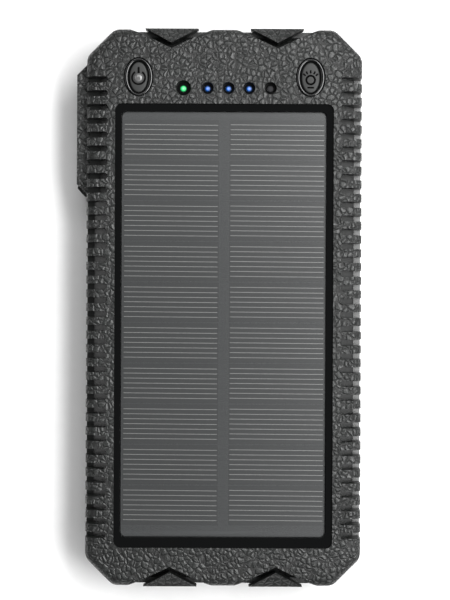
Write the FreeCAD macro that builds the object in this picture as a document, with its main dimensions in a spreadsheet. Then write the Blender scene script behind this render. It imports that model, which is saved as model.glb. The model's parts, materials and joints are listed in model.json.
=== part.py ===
"""Rugged solar power bank: two grained rubber half-shells round a sealed two-part plastic
case, a solar panel in the front, two sprung keys, five indicator lights, a hinged rubber
cover over three sockets and a lamp in the rear.

The bank lies on its back: +Z is out of the solar panel, +Y points to the key end and +X to
the side away from the sockets. The origin is the middle of the flat rear face. Millimetres.
"""
import FreeCAD, Part
import math
import os
import Sketcher
from FreeCAD import Placement, Rotation, Vector

DRIVING_SIZES = {
    # rubber half-shells
    "body_width": 83.2, "body_length": 168.0, "body_height": 22.0, "body_corner": 8.4,
    "corner_radius": 3.6, "shoulder_radius": 3.0, "band_inset": 0.3, "band_half": 1.6,
    "face_skin": 1.8,
    # plastic case
    "case_width": 75.0, "case_length": 159.0, "case_corner": 5.5, "case_wall": 1.6,
    "slope_inset": 3.45, "case_skin": 1.6, "key_wall": 1.8,
    # solar panel and its frame
    "frame_width": 65.8, "frame_length": 133.6, "frame_shift": -5.5, "frame_radius": 2.0,
    "frame_drop": 0.6, "panel_width": 61.8, "panel_length": 128.2, "panel_shift": -5.05,
    "panel_radius": 1.7, "panel_drop": 3.3, "panel_floor": 1.5, "tape_thick": 0.2,
    "panel_board": 1.0, "cell_thick": 0.2, "film_thick": 0.6, "cell_width": 28.9,
    "cell_length": 11.9, "cell_pitch": 12.26, "cell_side_gap": 1.6,
    # grip grooves
    "groove_count": 34, "groove_pitch": 4.15, "groove_width": 1.8, "groove_reach": 6.5,
    "groove_step": 2.2, "groove_draft": 0.3, "ledge_width": 2.1, "ledge_height": 4.0,
    "cover_grooves": 9,
    # end chevrons
    "chevron_shift": 16.0, "chevron_half": 8.1, "chevron_depth": 3.8, "channel_width": 2.2,
    "channel_lip": 1.6, "channel_ledge": 1.7, "tab_depth": 4.8, "tab_proud": 0.5,
    "tab_edge_drop": 3.5, "tab_apex_drop": 0.1,
    # keys and switches
    "key_x": 25.9, "key_y": 69.3, "collar_width": 9.0, "collar_length": 11.8,
    "collar_drop": 0.3, "key_width": 5.6, "key_length": 9.25, "key_gap": 0.15,
    "key_drop": 0.6, "key_flange": 0.9, "flange_thick": 1.3, "stem_radius": 1.6,
    "touch_gap": 0.05, "switch_side": 4.5, "switch_height": 3.5, "plunger_radius": 1.4,
    "plunger_height": 5.9,
    # indicator lights
    "light_y": 66.0, "guide_radius": 1.0, "big_light_hole": 2.25, "light_hole": 1.8,
    # sockets and their cover
    "cover_top": 73.7, "cover_end": 34.1, "cover_half": 6.0, "cover_gap": 0.3,
    "cover_bulge": 3.2, "notch_depth": 2.7, "window_top": 66.6, "window_end": 35.8,
    "window_half": 5.4, "socket_high_y": 58.3, "socket_low_y": 43.1, "socket_width": 13.2,
    "socket_height": 5.7, "socket_long": 14.0, "socket_mouth": 37.3, "small_socket_y": 50.7,
    # boards, cells and lamp
    "board_bottom": 8.8, "board_thick": 1.2, "cell_block_half": 32.5,
    "cell_block_top": 29.0, "cell_block_end": -70.0, "pouch_thick": 6.2,
    "lamp_y": 62.0, "lamp_width": 40.0, "lamp_height": 12.0,
    # screws
    "boss_radius": 2.1, "thread_radius": 0.9, "top_boss_x": 31.2, "top_boss_y": 71.8,
    "end_boss_x": 28.0, "end_boss_y": -73.0,
}

MIDDLE = "sizes.body_height / 2"
CASE_TOP = "(sizes.body_height / 2 - sizes.face_skin)"
BOARD_TOP = "(sizes.board_bottom + sizes.board_thick)"
PANEL_SEAT = "(sizes.body_height - sizes.panel_drop)"
COVER_FLOOR = "sizes.cover_half + 0.2"
LIGHT_X = (-12.4, -5.1, 1.2, 7.4, 13.85)
SIDES = (-1, 1)

doc = FreeCAD.newDocument("solar_power_bank")
sheet = doc.addObject("Spreadsheet::Sheet", "sizes")
for row, (alias, size) in enumerate(DRIVING_SIZES.items(), start=1):
    sheet.set(f"A{row}", alias)
    sheet.set(f"B{row}", str(size))
    sheet.setAlias(f"B{row}", alias)
doc.recompute()

sub_parts = []


# ---------------------------------------------------------------- helpers

def number(expression):
    """Present value of an expression over the sheet."""
    return float(sheet.evalExpression(str(expression)))


def keep(piece, label):
    """Give a finished sub-part its name and list it for export."""
    piece.Label = label
    sub_parts.append(piece)
    return piece


def new_body(label):
    return keep(doc.addObject("PartDesign::Body", label + "_body"), label)


def blank_sketch(body, plane, level):
    """Empty sketch on one of the body's own planes, moved along that plane's normal."""
    sketch = body.newObject("Sketcher::SketchObject", "outline")
    origin_plane = next(item for item in body.Origin.OriginFeatures if item.Role == plane)
    sketch.AttachmentSupport = [(origin_plane, "")]
    sketch.MapMode = "FlatFace"
    sketch.setExpression("AttachmentOffset.Base.z", str(level))
    return sketch


def tie(sketch, kind, geometry, point, expression, name):
    """Hold one point of the sketch at an expression, measured from the sketch's origin."""
    place = number(expression)
    index = sketch.addConstraint(Sketcher.Constraint(kind, -1, 1, geometry, point, place))
    sketch.renameConstraint(index, name)
    sketch.setExpression("Constraints." + name, expression)


def polygon(body, corners, level="0", plane="XY_Plane"):
    """Closed sketch of straight lines whose corners are pairs of expressions."""
    sketch = blank_sketch(body, plane, level)
    places = [Vector(number(x), number(y), 0) for x, y in corners]
    for start, end in zip(places, places[1:] + places[:1]):
        sketch.addGeometry(Part.LineSegment(start, end), False)
    for index, (x, y) in enumerate(corners):
        following = (index + 1) % len(corners)
        sketch.addConstraint(Sketcher.Constraint("Coincident", index, 2, following, 1))
        tie(sketch, "DistanceX", index, 1, str(x), f"x{index}")
        tie(sketch, "DistanceY", index, 1, str(y), f"y{index}")
    return sketch


def rectangle(body, x, y, width, length, level="0", plane="XY_Plane"):
    """Rectangle sketch centred at x, y."""
    corners = [(f"{x} + {a} * ({width}) / 2", f"{y} + {b} * ({length}) / 2")
               for a, b in ((-1, -1), (1, -1), (1, 1), (-1, 1))]
    return polygon(body, corners, level, plane)


def octagon(body, width, length, corner, level):
    """Rectangle sketch with 45 degree corners, centred on the body's axis."""
    half_x, half_y = f"({width}) / 2", f"({length}) / 2"
    corners = []
    for a, b in ((1, -1), (1, 1), (-1, 1), (-1, -1)):
        side = (f"{a} * ({half_x})", f"{b} * ({half_y} - ({corner}))")
        end = (f"{a} * ({half_x} - ({corner}))", f"{b} * ({half_y})")
        corners += [end, side] if a * b < 0 else [side, end]
    return polygon(body, corners, level)


def circle(body, x, y, radius, level="0"):
    """Circle sketch; the centre and the radius are expressions."""
    sketch = blank_sketch(body, "XY_Plane", level)
    centre = Vector(number(x), number(y), 0)
    sketch.addGeometry(Part.Circle(centre, Vector(0, 0, 1), number(radius)), False)
    tie(sketch, "DistanceX", 0, 3, str(x), "x")
    tie(sketch, "DistanceY", 0, 3, str(y), "y")
    index = sketch.addConstraint(Sketcher.Constraint("Radius", 0, number(radius)))
    sketch.renameConstraint(index, "radius")
    sketch.setExpression("Constraints.radius", str(radius))
    return sketch


def oval(body, x, y, width, height, level="0"):
    """Round-ended slot sketch centred at x, y, long along X."""
    sketch = blank_sketch(body, "XY_Plane", level)
    radius = f"({height}) / 2"
    reach = f"({width}) / 2 - {radius}"
    centre = Vector(number(x), number(y), 0)
    along = Vector(number(reach), 0, 0)
    tip = Vector(number(radius), 0, 0)
    up = Vector(0, number(radius), 0)
    left, right = centre - along, centre + along
    sketch.addGeometry(Part.LineSegment(left - up, right - up), False)
    sketch.addGeometry(Part.Arc(right - up, right + tip, right + up), False)
    sketch.addGeometry(Part.LineSegment(right + up, left + up), False)
    sketch.addGeometry(Part.Arc(left + up, left - tip, left - up), False)
    for line, line_end, arc, arc_end in ((0, 2, 1, 1), (2, 1, 1, 2), (2, 2, 3, 1), (0, 1, 3, 2)):
        sketch.addConstraint(Sketcher.Constraint("Tangent", line, line_end, arc, arc_end))
    for arc, sign, name in ((1, 1, "right"), (3, -1, "left")):
        tie(sketch, "DistanceX", arc, 3, f"{x} + {sign} * ({reach})", name + "_x")
        tie(sketch, "DistanceY", arc, 3, str(y), name + "_y")
    index = sketch.addConstraint(Sketcher.Constraint("Radius", 1, number(radius)))
    sketch.renameConstraint(index, "radius")
    sketch.setExpression("Constraints.radius", radius)
    return sketch


def ellipse(body, x, y, width, length, level="0"):
    """Upright ellipse sketch centred at x, y; its axes are tied to their own lengths."""
    sketch = blank_sketch(body, "XY_Plane", level)
    centre = Vector(number(x), number(y), 0)
    far = centre + Vector(0, number(length) / 2, 0)
    side = centre + Vector(number(width) / 2, 0, 0)
    sketch.addGeometry(Part.Ellipse(far, side, centre), False)
    sketch.exposeInternalGeometry(0)
    tie(sketch, "DistanceX", 0, 3, str(x), "x")
    tie(sketch, "DistanceY", 0, 3, str(y), "y")
    sketch.addConstraint(Sketcher.Constraint("Vertical", 1))
    for axis, size, name in ((1, length, "long_axis"), (2, width, "short_axis")):
        index = sketch.addConstraint(Sketcher.Constraint("Distance", axis, number(size)))
        sketch.renameConstraint(index, name)
        sketch.setExpression("Constraints." + name, str(size))
    return sketch


def pad(body, sketch, length, downward=False, both_ways=False):
    feature = body.newObject("PartDesign::Pad", "pad")
    feature.Profile = sketch
    feature.setExpression("Length", str(length))
    feature.Reversed = downward
    if both_ways:
        feature.SideType = "Symmetric"
    return feature


def pocket(body, sketch, length, upward=False, both_ways=False):
    """Cut a sketch against its normal (or along it, when upward) and see that it cuts."""
    doc.recompute()
    before = body.Shape.Volume
    feature = body.newObject("PartDesign::Pocket", "pocket")
    feature.Profile = sketch
    feature.setExpression("Length", str(length))
    feature.Reversed = upward
    if both_ways:
        feature.SideType = "Symmetric"
    doc.recompute()
    if body.Shape.Volume >= before - 1e-6:
        raise RuntimeError(f"pocket {feature.Name} in {body.Label} cuts nothing")
    return feature


def loft(body, sections, cut=False):
    """Ruled loft through sketches, added to the body or cut from it."""
    kind = "PartDesign::SubtractiveLoft" if cut else "PartDesign::AdditiveLoft"
    feature = body.newObject(kind, "loft")
    feature.Profile = sections[0]
    feature.Sections = sections[1:]
    feature.Ruled = True
    return feature


def round_edges(body, wanted, radius, kind="PartDesign::Fillet"):
    """Fillet (or chamfer) those edges of the body's latest shape that `wanted` picks."""
    doc.recompute()
    base = body.Tip
    names = [f"Edge{index}" for index, edge in enumerate(base.Shape.Edges, start=1)
             if wanted(edge)]
    if not names:
        raise RuntimeError(f"no edges to round in {body.Label}")
    feature = body.newObject(kind, "rounding")
    feature.Base = (base, names)
    feature.setExpression("Size" if kind.endswith("Chamfer") else "Radius", str(radius))
    return feature


def upright_edge(edge):
    box = edge.BoundBox
    return box.ZLength > 0.1 and box.XLength < 1e-4 and box.YLength < 1e-4


def block(label, x, y, z, width, length, height):
    """Plain box sub-part (or tool, with no label) from its low corner and its sizes."""
    box = doc.addObject("Part::Box", label or "block")
    for name, size in (("Length", width), ("Width", length), ("Height", height)):
        box.setExpression(name, str(size))
    for axis, place in zip("xyz", (x, y, z)):
        box.setExpression("Placement.Base." + axis, str(place))
    return keep(box, label) if label else box


def rod(label, x, y, z, radius, height):
    """Plain upright cylinder sub-part (or tool, with no label)."""
    cylinder = doc.addObject("Part::Cylinder", label or "rod")
    cylinder.setExpression("Radius", str(radius))
    cylinder.setExpression("Height", str(height))
    for axis, place in zip("xyz", (x, y, z)):
        cylinder.setExpression("Placement.Base." + axis, str(place))
    return keep(cylinder, label) if label else cylinder


def cut(label, base, tools):
    """Base with the tools taken away."""
    result = doc.addObject("Part::Cut", label or "cut")
    result.Base = base
    result.Tool = tools[0] if len(tools) == 1 else group(None, tools)
    return keep(result, label) if label else result


def fuse(label, pieces):
    """Pieces joined into one solid."""
    result = doc.addObject("Part::MultiFuse", label or "fuse")
    result.Shapes = pieces
    return keep(result, label) if label else result


def group(label, pieces):
    """Separate solids held as one sub-part."""
    result = doc.addObject("Part::Compound", label or "group")
    result.Links = pieces
    return keep(result, label) if label else result


# ---------------------------------------------------------------- shared outlines

def from_middle(facing, distance):
    """Height at a distance from the case's middle plane, towards the front or the rear."""
    return f"{MIDDLE} + {facing} * ({distance})"


def sloped_shell_sections(body, facing, inset, face_distance):
    """Three case outlines: at the middle plane, where the slope starts and at the face.

    The outlines lie `inset` inside the case's outside, with the same slope all round.
    """
    slope = f"sizes.slope_inset / ({CASE_TOP} - sizes.band_half)"
    narrowing = f"{slope} * (({face_distance}) - sizes.band_half)"
    corner_loss = 2 - 2 ** 0.5
    outlines = []
    for distance, shrink in (("0", inset), ("sizes.band_half", inset),
                             (face_distance, f"{inset} + {narrowing}")):
        outlines.append(octagon(
            body, f"sizes.case_width - 2 * ({shrink})", f"sizes.case_length - 2 * ({shrink})",
            f"sizes.case_corner - {corner_loss} * ({shrink})", from_middle(facing, distance)))
    return outlines


def fill_shell(body, facing, inset, face_distance, hollow=False):
    """Add (or cut away) the case's straight band and its sloped part."""
    middle, start, face = sloped_shell_sections(body, facing, inset, face_distance)
    if hollow:
        pocket(body, middle, "sizes.band_half", upward=facing > 0)
    else:
        pad(body, middle, "sizes.band_half", downward=facing < 0)
    return loft(body, [start, face], cut=hollow)


# ---------------------------------------------------------------- rubber half-shells

def cut_grooves(body, facing, side, first, count, floor):
    """A row of grip grooves; the profile leans in towards the face and stops at `floor`."""
    face = "sizes.body_height / 2"
    half_width = "sizes.body_width / 2"
    inner = f"{half_width} - sizes.groove_reach"
    fall = f"({face} - sizes.groove_step - sizes.ledge_height)"
    lean = f"(sizes.groove_reach - sizes.ledge_width - sizes.groove_draft) / {fall}"
    foot = f"{half_width} - sizes.ledge_width - {lean} * (({floor}) - sizes.ledge_height)"
    profile = [(inner, f"{face} + 1"), (inner, face),
               (f"{inner} + sizes.groove_draft", f"{face} - sizes.groove_step"),
               (foot, floor), (f"{half_width} + 1", floor), (f"{half_width} + 1", f"{face} + 1")]
    corners = [(f"{side} * ({x})", from_middle(facing, distance)) for x, distance in profile]
    start = f"-((sizes.groove_count - 1) / 2 - {first}) * sizes.groove_pitch"
    sketch = polygon(body, corners, start, "XZ_Plane")
    groove = pocket(body, sketch, "sizes.groove_width", both_ways=True)
    pattern = body.newObject("PartDesign::LinearPattern", "groove_row")
    pattern.Originals = [groove]
    pattern.Direction = (sketch, ["N_Axis"])
    pattern.setExpression("Length", f"({count} - 1) * sizes.groove_pitch")
    pattern.setExpression("Occurrences", str(count))
    body.Tip = pattern
    doc.recompute()


def cut_chevron(body, facing, end, side):
    """One V channel in an end of the shell, and the sloped tab that stands inside it."""
    edge = "sizes.body_length / 2"
    face = "sizes.body_height / 2"
    spread = "(sizes.chevron_half / sizes.chevron_depth)"
    apex = f"{edge} - sizes.chevron_depth - sizes.channel_width"
    ledge_start = f"{edge} - sizes.channel_ledge"
    ledge = "sizes.ledge_height"

    def section(place, half, low, high):
        corners = []
        for a, level in ((-1, low), (1, low), (1, high), (-1, high)):
            x = f"{side} * sizes.chevron_shift + {a} * ({half})"
            corners.append((x, from_middle(facing, level)))
        return polygon(body, corners, f"-{end} * ({place})", "XZ_Plane")

    over = f"{face} + 1"
    loft(body, [
        section(apex, "0.05", f"{face} - sizes.channel_lip", over),
        section(ledge_start, f"{spread} * ({ledge_start} - ({apex}))", ledge, over),
        section(f"{edge} + 1", f"{spread} * (({edge}) + 1 - ({apex}))", ledge, over),
    ], cut=True)
    tab_edge = f"{edge} + sizes.tab_proud"
    tab_foot = "sizes.ledge_height - 1"
    loft(body, [
        section(f"{tab_edge} - sizes.tab_depth", "0.05", tab_foot,
                f"{face} - sizes.tab_apex_drop"),
        section(tab_edge, "sizes.chevron_half", tab_foot, f"{face} - sizes.tab_edge_drop"),
    ])
    doc.recompute()


def rubber_shell(label, facing):
    """One grained rubber half-shell, from the middle plane to its face."""
    body = new_body(label)
    band_corner = f"sizes.body_corner - {2 - 2 ** 0.5} * sizes.band_inset"
    pad(body, octagon(body, "sizes.body_width - 2 * sizes.band_inset",
                      "sizes.body_length - 2 * sizes.band_inset", band_corner,
                      from_middle(facing, "0")), "sizes.band_half", downward=facing < 0)
    pad(body, octagon(body, "sizes.body_width", "sizes.body_length", "sizes.body_corner",
                      from_middle(facing, "sizes.band_half")),
        "sizes.body_height / 2 - sizes.band_half", downward=facing < 0)
    round_edges(body, upright_edge, "sizes.corner_radius")
    face = number(from_middle(facing, "sizes.body_height / 2"))
    round_edges(body, lambda edge: abs(edge.BoundBox.ZMin - face) < 1e-4
                and abs(edge.BoundBox.ZMax - face) < 1e-4, "sizes.shoulder_radius")
    fill_shell(body, facing, "0", CASE_TOP, hollow=True)
    doc.recompute()
    for end in SIDES:
        for side in SIDES:
            cut_chevron(body, facing, end, side)
    notch_y = "(sizes.cover_top + sizes.cover_end) / 2"
    notch_long = "sizes.cover_top - sizes.cover_end + 2 * sizes.cover_gap"
    pocket(body, rectangle(body, "-sizes.body_width / 2", notch_y, "2 * sizes.notch_depth",
                           notch_long, MIDDLE), COVER_FLOOR, upward=facing > 0)
    window_y = "(sizes.window_top + sizes.window_end) / 2"
    pocket(body, rectangle(body, "-sizes.body_width / 2", window_y, "14",
                           "sizes.window_top - sizes.window_end", MIDDLE),
           "sizes.window_half", upward=facing > 0)
    return body


def cut_both_sides(body, facing):
    """Grooves down both long sides; those above the port cover stop at the cover's notch."""
    cut_grooves(body, facing, 1, "0", "sizes.groove_count", "sizes.ledge_height")
    cut_grooves(body, facing, -1, "0", "sizes.cover_grooves", COVER_FLOOR)
    cut_grooves(body, facing, -1, "sizes.cover_grooves",
                "sizes.groove_count - sizes.cover_grooves", "sizes.ledge_height")


def front_bumper():
    body = rubber_shell("front_bumper", 1)
    top = "sizes.body_height"
    through = "sizes.face_skin + 0.01"
    pocket(body, rectangle(body, "0", "sizes.frame_shift", "sizes.frame_width",
                           "sizes.frame_length", top), through)
    inside_frame = number("sizes.frame_width") / 2 + 0.01
    round_edges(body, lambda edge: upright_edge(edge)
                and abs(abs(edge.BoundBox.Center.x) - inside_frame) < 0.1
                and edge.BoundBox.ZMax > 20.5, "sizes.frame_radius")
    for side in SIDES:
        pocket(body, ellipse(body, f"{side} * sizes.key_x", "sizes.key_y",
                             "sizes.collar_width", "sizes.collar_length", top), through)
    for place in LIGHT_X:
        radius = "sizes.big_light_hole" if place == LIGHT_X[0] else "sizes.light_hole"
        pocket(body, circle(body, place, "sizes.light_y", radius, top), through)
    cut_both_sides(body, 1)


def rear_bumper():
    body = rubber_shell("rear_bumper", -1)
    pocket(body, oval(body, "0", "sizes.lamp_y", "sizes.lamp_width", "sizes.lamp_height"),
           "sizes.face_skin + 0.01", upward=True)
    for x, y in boss_places():
        pocket(body, circle(body, x, y, "2.4"), "sizes.face_skin + 0.01", upward=True)
    cut_both_sides(body, -1)


# ---------------------------------------------------------------- plastic case

def boss_places():
    """The four screw axes, as expressions."""
    for side in SIDES:
        yield f"{side} * sizes.top_boss_x", "sizes.top_boss_y"
        yield f"{side} * sizes.end_boss_x", "sizes.end_boss_y"


def cut_socket_holes(body, facing):
    """Openings in the case's left wall for the sockets, as far as this half reaches them."""
    wall_x = "-sizes.case_width / 2"
    if facing > 0:
        lift = f"{BOARD_TOP} + sizes.socket_height + 0.2 - {MIDDLE}"
        drop = None
    else:
        lift = f"{MIDDLE} - {BOARD_TOP} + 0.1"
        drop = f"{MIDDLE} - sizes.board_bottom + 2.7"
    for place in ("sizes.socket_high_y", "sizes.socket_low_y"):
        sketch = rectangle(body, wall_x, place, "10", "sizes.socket_width + 0.4", MIDDLE)
        pocket(body, sketch, lift, upward=facing > 0)
    if drop:
        sketch = rectangle(body, wall_x, "sizes.small_socket_y", "10", "8.2",
                           "sizes.board_bottom + 0.1")
        pocket(body, sketch, f"{drop} - ({MIDDLE} - sizes.board_bottom) + 0.1")


def front_case():
    body = new_body("front_housing")
    fill_shell(body, 1, "0", CASE_TOP)
    under_key_wall = f"({CASE_TOP} - sizes.key_wall)"
    fill_shell(body, 1, "sizes.case_wall", under_key_wall, hollow=True)
    doc.recompute()
    floor_bottom = f"({PANEL_SEAT} - sizes.panel_floor)"
    frame_top = "sizes.body_height - sizes.frame_drop"
    pad(body, rectangle(body, "0", "sizes.frame_shift", "sizes.frame_width",
                        "sizes.frame_length", floor_bottom), f"{frame_top} - {floor_bottom}")
    half = number("sizes.frame_width") / 2
    round_edges(body, lambda edge: upright_edge(edge)
                and abs(abs(edge.BoundBox.Center.x) - half) < 0.05
                and edge.BoundBox.ZMax > 21, "sizes.frame_radius")
    pocket(body, rectangle(body, "0", "sizes.panel_shift", "sizes.panel_width",
                           "sizes.panel_length", frame_top), f"{frame_top} - {PANEL_SEAT}")
    half_panel = number("sizes.panel_width") / 2
    round_edges(body, lambda edge: upright_edge(edge)
                and abs(abs(edge.BoundBox.Center.x) - half_panel) < 0.05, "sizes.panel_radius")
    collar_foot = f"{MIDDLE} + {under_key_wall}"
    collar_top = "sizes.body_height - sizes.collar_drop"
    for side in SIDES:
        pad(body, ellipse(body, f"{side} * sizes.key_x", "sizes.key_y",
                          "sizes.collar_width", "sizes.collar_length", collar_foot),
            f"{collar_top} - ({collar_foot})")
    for side in SIDES:
        pocket(body, ellipse(body, f"{side} * sizes.key_x", "sizes.key_y",
                             "sizes.key_width + 2 * sizes.key_gap",
                             "sizes.key_length + 2 * sizes.key_gap", collar_top), "4")
    bore_half = number("sizes.key_width") / 2 + number("sizes.key_gap") + 0.1
    top = number(collar_top)
    round_edges(body, lambda edge: abs(edge.BoundBox.ZMin - top) < 1e-4
                and abs(edge.BoundBox.ZMax - top) < 1e-4
                and abs(abs(edge.BoundBox.Center.x) - number("sizes.key_x")) < bore_half
                and edge.BoundBox.XLength < 2 * bore_half, "0.9", "PartDesign::Chamfer")
    for place in LIGHT_X:
        pocket(body, circle(body, place, "sizes.light_y", "sizes.guide_radius",
                            "sizes.body_height - sizes.face_skin"), "3")
    pocket(body, rectangle(body, "0", "55", "7", "3", PANEL_SEAT), "3")
    for side in SIDES:
        pad(body, rectangle(body, f"{side} * (sizes.top_boss_x + 2.2)", "sizes.top_boss_y",
                            "4.4", "1.6", f"{MIDDLE} + 1"), "4.4")
        pad(body, rectangle(body, f"{side} * sizes.end_boss_x", "sizes.end_boss_y - 2.3",
                            "1.6", "4.6", f"{MIDDLE} + 1"), "4.4")
    for x, y in boss_places():
        pad(body, circle(body, x, y, "sizes.boss_radius", MIDDLE), "5.5")
    for x, y in boss_places():
        pocket(body, circle(body, x, y, "sizes.thread_radius", MIDDLE), "4.5", upward=True)
    cut_socket_holes(body, 1)


def rear_case():
    body = new_body("rear_housing")
    fill_shell(body, -1, "0", CASE_TOP)
    floor = f"({CASE_TOP} - sizes.case_skin)"
    fill_shell(body, -1, "sizes.case_wall", floor, hollow=True)
    doc.recompute()
    floor_level = "(sizes.face_skin + sizes.case_skin)"
    for x, y in boss_places():
        pad(body, circle(body, x, y, "sizes.boss_radius", floor_level),
            f"{MIDDLE} - {floor_level}")
    for x, y in boss_places():
        pocket(body, circle(body, x, y, "1.1", MIDDLE), "12")
        pocket(body, circle(body, x, y, "1.9", "sizes.face_skin"), "1.4", upward=True)
    for x, y in post_places():
        pad(body, circle(body, x, y, "2.2", floor_level), f"sizes.board_bottom - {floor_level}")
        pocket(body, circle(body, x, y, "0.8", "sizes.board_bottom"), "4")
    pocket(body, oval(body, "0", "sizes.lamp_y", "sizes.lamp_width", "sizes.lamp_height",
                      "sizes.face_skin"), "0.8", upward=True)
    pocket(body, oval(body, "0", "sizes.lamp_y", "sizes.lamp_width - 3",
                      "sizes.lamp_height - 3", "sizes.face_skin"), "2", upward=True)
    ring = octagon(body, "sizes.case_width - 0.9", "sizes.case_length - 0.9",
                   "sizes.case_corner - 0.26", MIDDLE)
    trim_to_ring(body, ring)
    cut_socket_holes(body, -1)


def post_places():
    """The three posts that the main board is screwed to."""
    return (("0", "74.4"), ("-14", "34.6"), ("30", "34.6"))


def add_inner_outline(sketch, width, length, corner):
    """Add a second, smaller octagon to an octagon sketch, so that it encloses a ring."""
    half_x, half_y, cut_back = number(width) / 2, number(length) / 2, number(corner)
    corners = []
    for a, b in ((1, -1), (1, 1), (-1, 1), (-1, -1)):
        side = Vector(a * half_x, b * (half_y - cut_back), 0)
        end = Vector(a * (half_x - cut_back), b * half_y, 0)
        corners += [end, side] if a * b < 0 else [side, end]
    first = sketch.GeometryCount
    for start, finish in zip(corners, corners[1:] + corners[:1]):
        sketch.addGeometry(Part.LineSegment(start, finish), False)
    for index, corner_place in enumerate(corners):
        following = first + (index + 1) % len(corners)
        sketch.addConstraint(
            Sketcher.Constraint("Coincident", first + index, 2, following, 1))
        for kind, place, name in (("DistanceX", corner_place.x, f"inner_x{index}"),
                                  ("DistanceY", corner_place.y, f"inner_y{index}")):
            tie(sketch, kind, first + index, 1, str(place), name)


def trim_to_ring(body, ring):
    """Cut the seal's groove in the rear case's rim."""
    add_inner_outline(ring, "sizes.case_width - 2.3", "sizes.case_length - 2.3",
                      "sizes.case_corner - 0.67")
    pocket(body, ring, "0.8")


def case_seal():
    """Rubber seal in the rim's groove, left open where the sockets pass the rim."""
    body = doc.addObject("PartDesign::Body", "seal_ring_body")
    ring = octagon(body, "sizes.case_width - 0.9", "sizes.case_length - 0.9",
                   "sizes.case_corner - 0.26", MIDDLE)
    add_inner_outline(ring, "sizes.case_width - 2.3", "sizes.case_length - 2.3",
                      "sizes.case_corner - 0.67")
    pad(body, ring, "0.8", downward=True)
    gap = block(None, "-sizes.case_width / 2 - 1", "sizes.window_end",
                f"{MIDDLE} - 2", "5", "sizes.window_top - sizes.window_end", "4")
    cut("housing_seal", body, [gap])


def screws():
    """Case screws from the rear, with the rubber plugs that hide their heads."""
    pieces, plugs = [], []
    for x, y in boss_places():
        head = rod(None, x, y, "sizes.face_skin", "1.8", "1.3")
        shank = rod(None, x, y, "sizes.face_skin + 1.3", "sizes.thread_radius", "12")
        pieces.append(cut(None, fuse(None, [head, shank]), cross_recess(x, y)))
        plugs.append(rod(None, x, y, "0.1", "2.35", "1.6"))
    group("case_screws", pieces)
    group("screw_plugs", plugs)


def cross_recess(x, y):
    """The two slots of a cross-head screw's recess."""
    return [fuse(None, [
        block(None, f"{x} - 0.9", f"{y} - 0.2", "sizes.face_skin - 0.1", "1.8", "0.4", "0.7"),
        block(None, f"{x} - 0.2", f"{y} - 0.9", "sizes.face_skin - 0.1", "0.4", "1.8", "0.7")])]


# ---------------------------------------------------------------- solar panel

def solar_panel():
    seat = PANEL_SEAT
    slot = block(None, "-3.5", "53.5", f"{seat} - 1", "7", "3", "3")
    tape = block(None, "-30.3", "sizes.panel_shift - 63.4", seat, "60.6", "126.8",
                 "sizes.tape_thick")
    cut("panel_tape", tape, [slot])
    board_level = f"({seat} + sizes.tape_thick)"
    plate("solar_board", board_level, "sizes.panel_board")
    cell_level = f"({board_level} + sizes.panel_board)"
    cells = []
    for column in SIDES:
        for row_index in range(10):
            middle_y = f"sizes.panel_shift - {row_index - 4.5} * sizes.cell_pitch + 0.5"
            low_x = "sizes.cell_side_gap" if column > 0 else \
                "-sizes.cell_side_gap - sizes.cell_width"
            cells.append(block(None, low_x, f"{middle_y} - sizes.cell_length / 2", cell_level,
                               "sizes.cell_width", "sizes.cell_length", "sizes.cell_thick"))
    cells = group("solar_cells", cells)
    film = plate(None, cell_level, "sizes.film_thick")
    cut("solar_cover_film", film, [cells])


def plate(label, level, thick):
    """Round-cornered plate that fills the panel's recess with 0.1 mm to spare all round."""
    body = new_body(label) if label else doc.addObject("PartDesign::Body", "plate_body")
    pad(body, rectangle(body, "0", "sizes.panel_shift", "sizes.panel_width - 0.2",
                        "sizes.panel_length - 0.2", level), thick)
    round_edges(body, upright_edge, "sizes.panel_radius - 0.1")
    return body


def lead(label, points, bend, radius):
    """Insulated wire along straight runs joined by arcs of radius `bend`."""
    stops = [Vector(*place) for place in points]
    edges, start = [], stops[0]
    for before, corner, after in zip(stops, stops[1:], stops[2:]):
        inward = (before - corner).normalize()
        outward = (after - corner).normalize()
        trim = bend / math.tan(inward.getAngle(outward) / 2)
        enter, leave = corner + inward * trim, corner + outward * trim
        bisector = (inward + outward).normalize()
        centre = corner + bisector * math.hypot(bend, trim)
        middle = centre - bisector * bend
        edges.append(Part.LineSegment(start, enter).toShape())
        edges.append(Part.Arc(enter, middle, leave).toShape())
        start = leave
    edges.append(Part.LineSegment(start, stops[-1]).toShape())
    path = Part.Wire(edges)
    ring = Part.Wire(Part.Circle(stops[0], (stops[1] - stops[0]).normalize(), radius).toShape())
    piece = doc.addObject("Part::Feature", label)
    piece.Shape = path.makePipeShell([ring], True, False)
    piece.Placement = Placement(Vector(0, 0, 0), Rotation())
    expected = math.pi * radius ** 2 * path.Length
    if abs(piece.Shape.Volume / expected - 1) > 0.02:
        raise RuntimeError(f"{label} has the wrong volume")
    return keep(piece, label)


def panel_leads():
    top, bottom = number(f"{PANEL_SEAT} + sizes.tape_thick"), number(BOARD_TOP)
    for side, label in ((-1, "solar_lead_red"), (1, "solar_lead_black")):
        x = side * 1.5
        lead(label, [(x, 55, top), (x, 55, 15.2), (x, 58.6, 13.6), (x, 58.6, bottom)], 1.6, 0.5)


# ---------------------------------------------------------------- keys and lights

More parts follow.
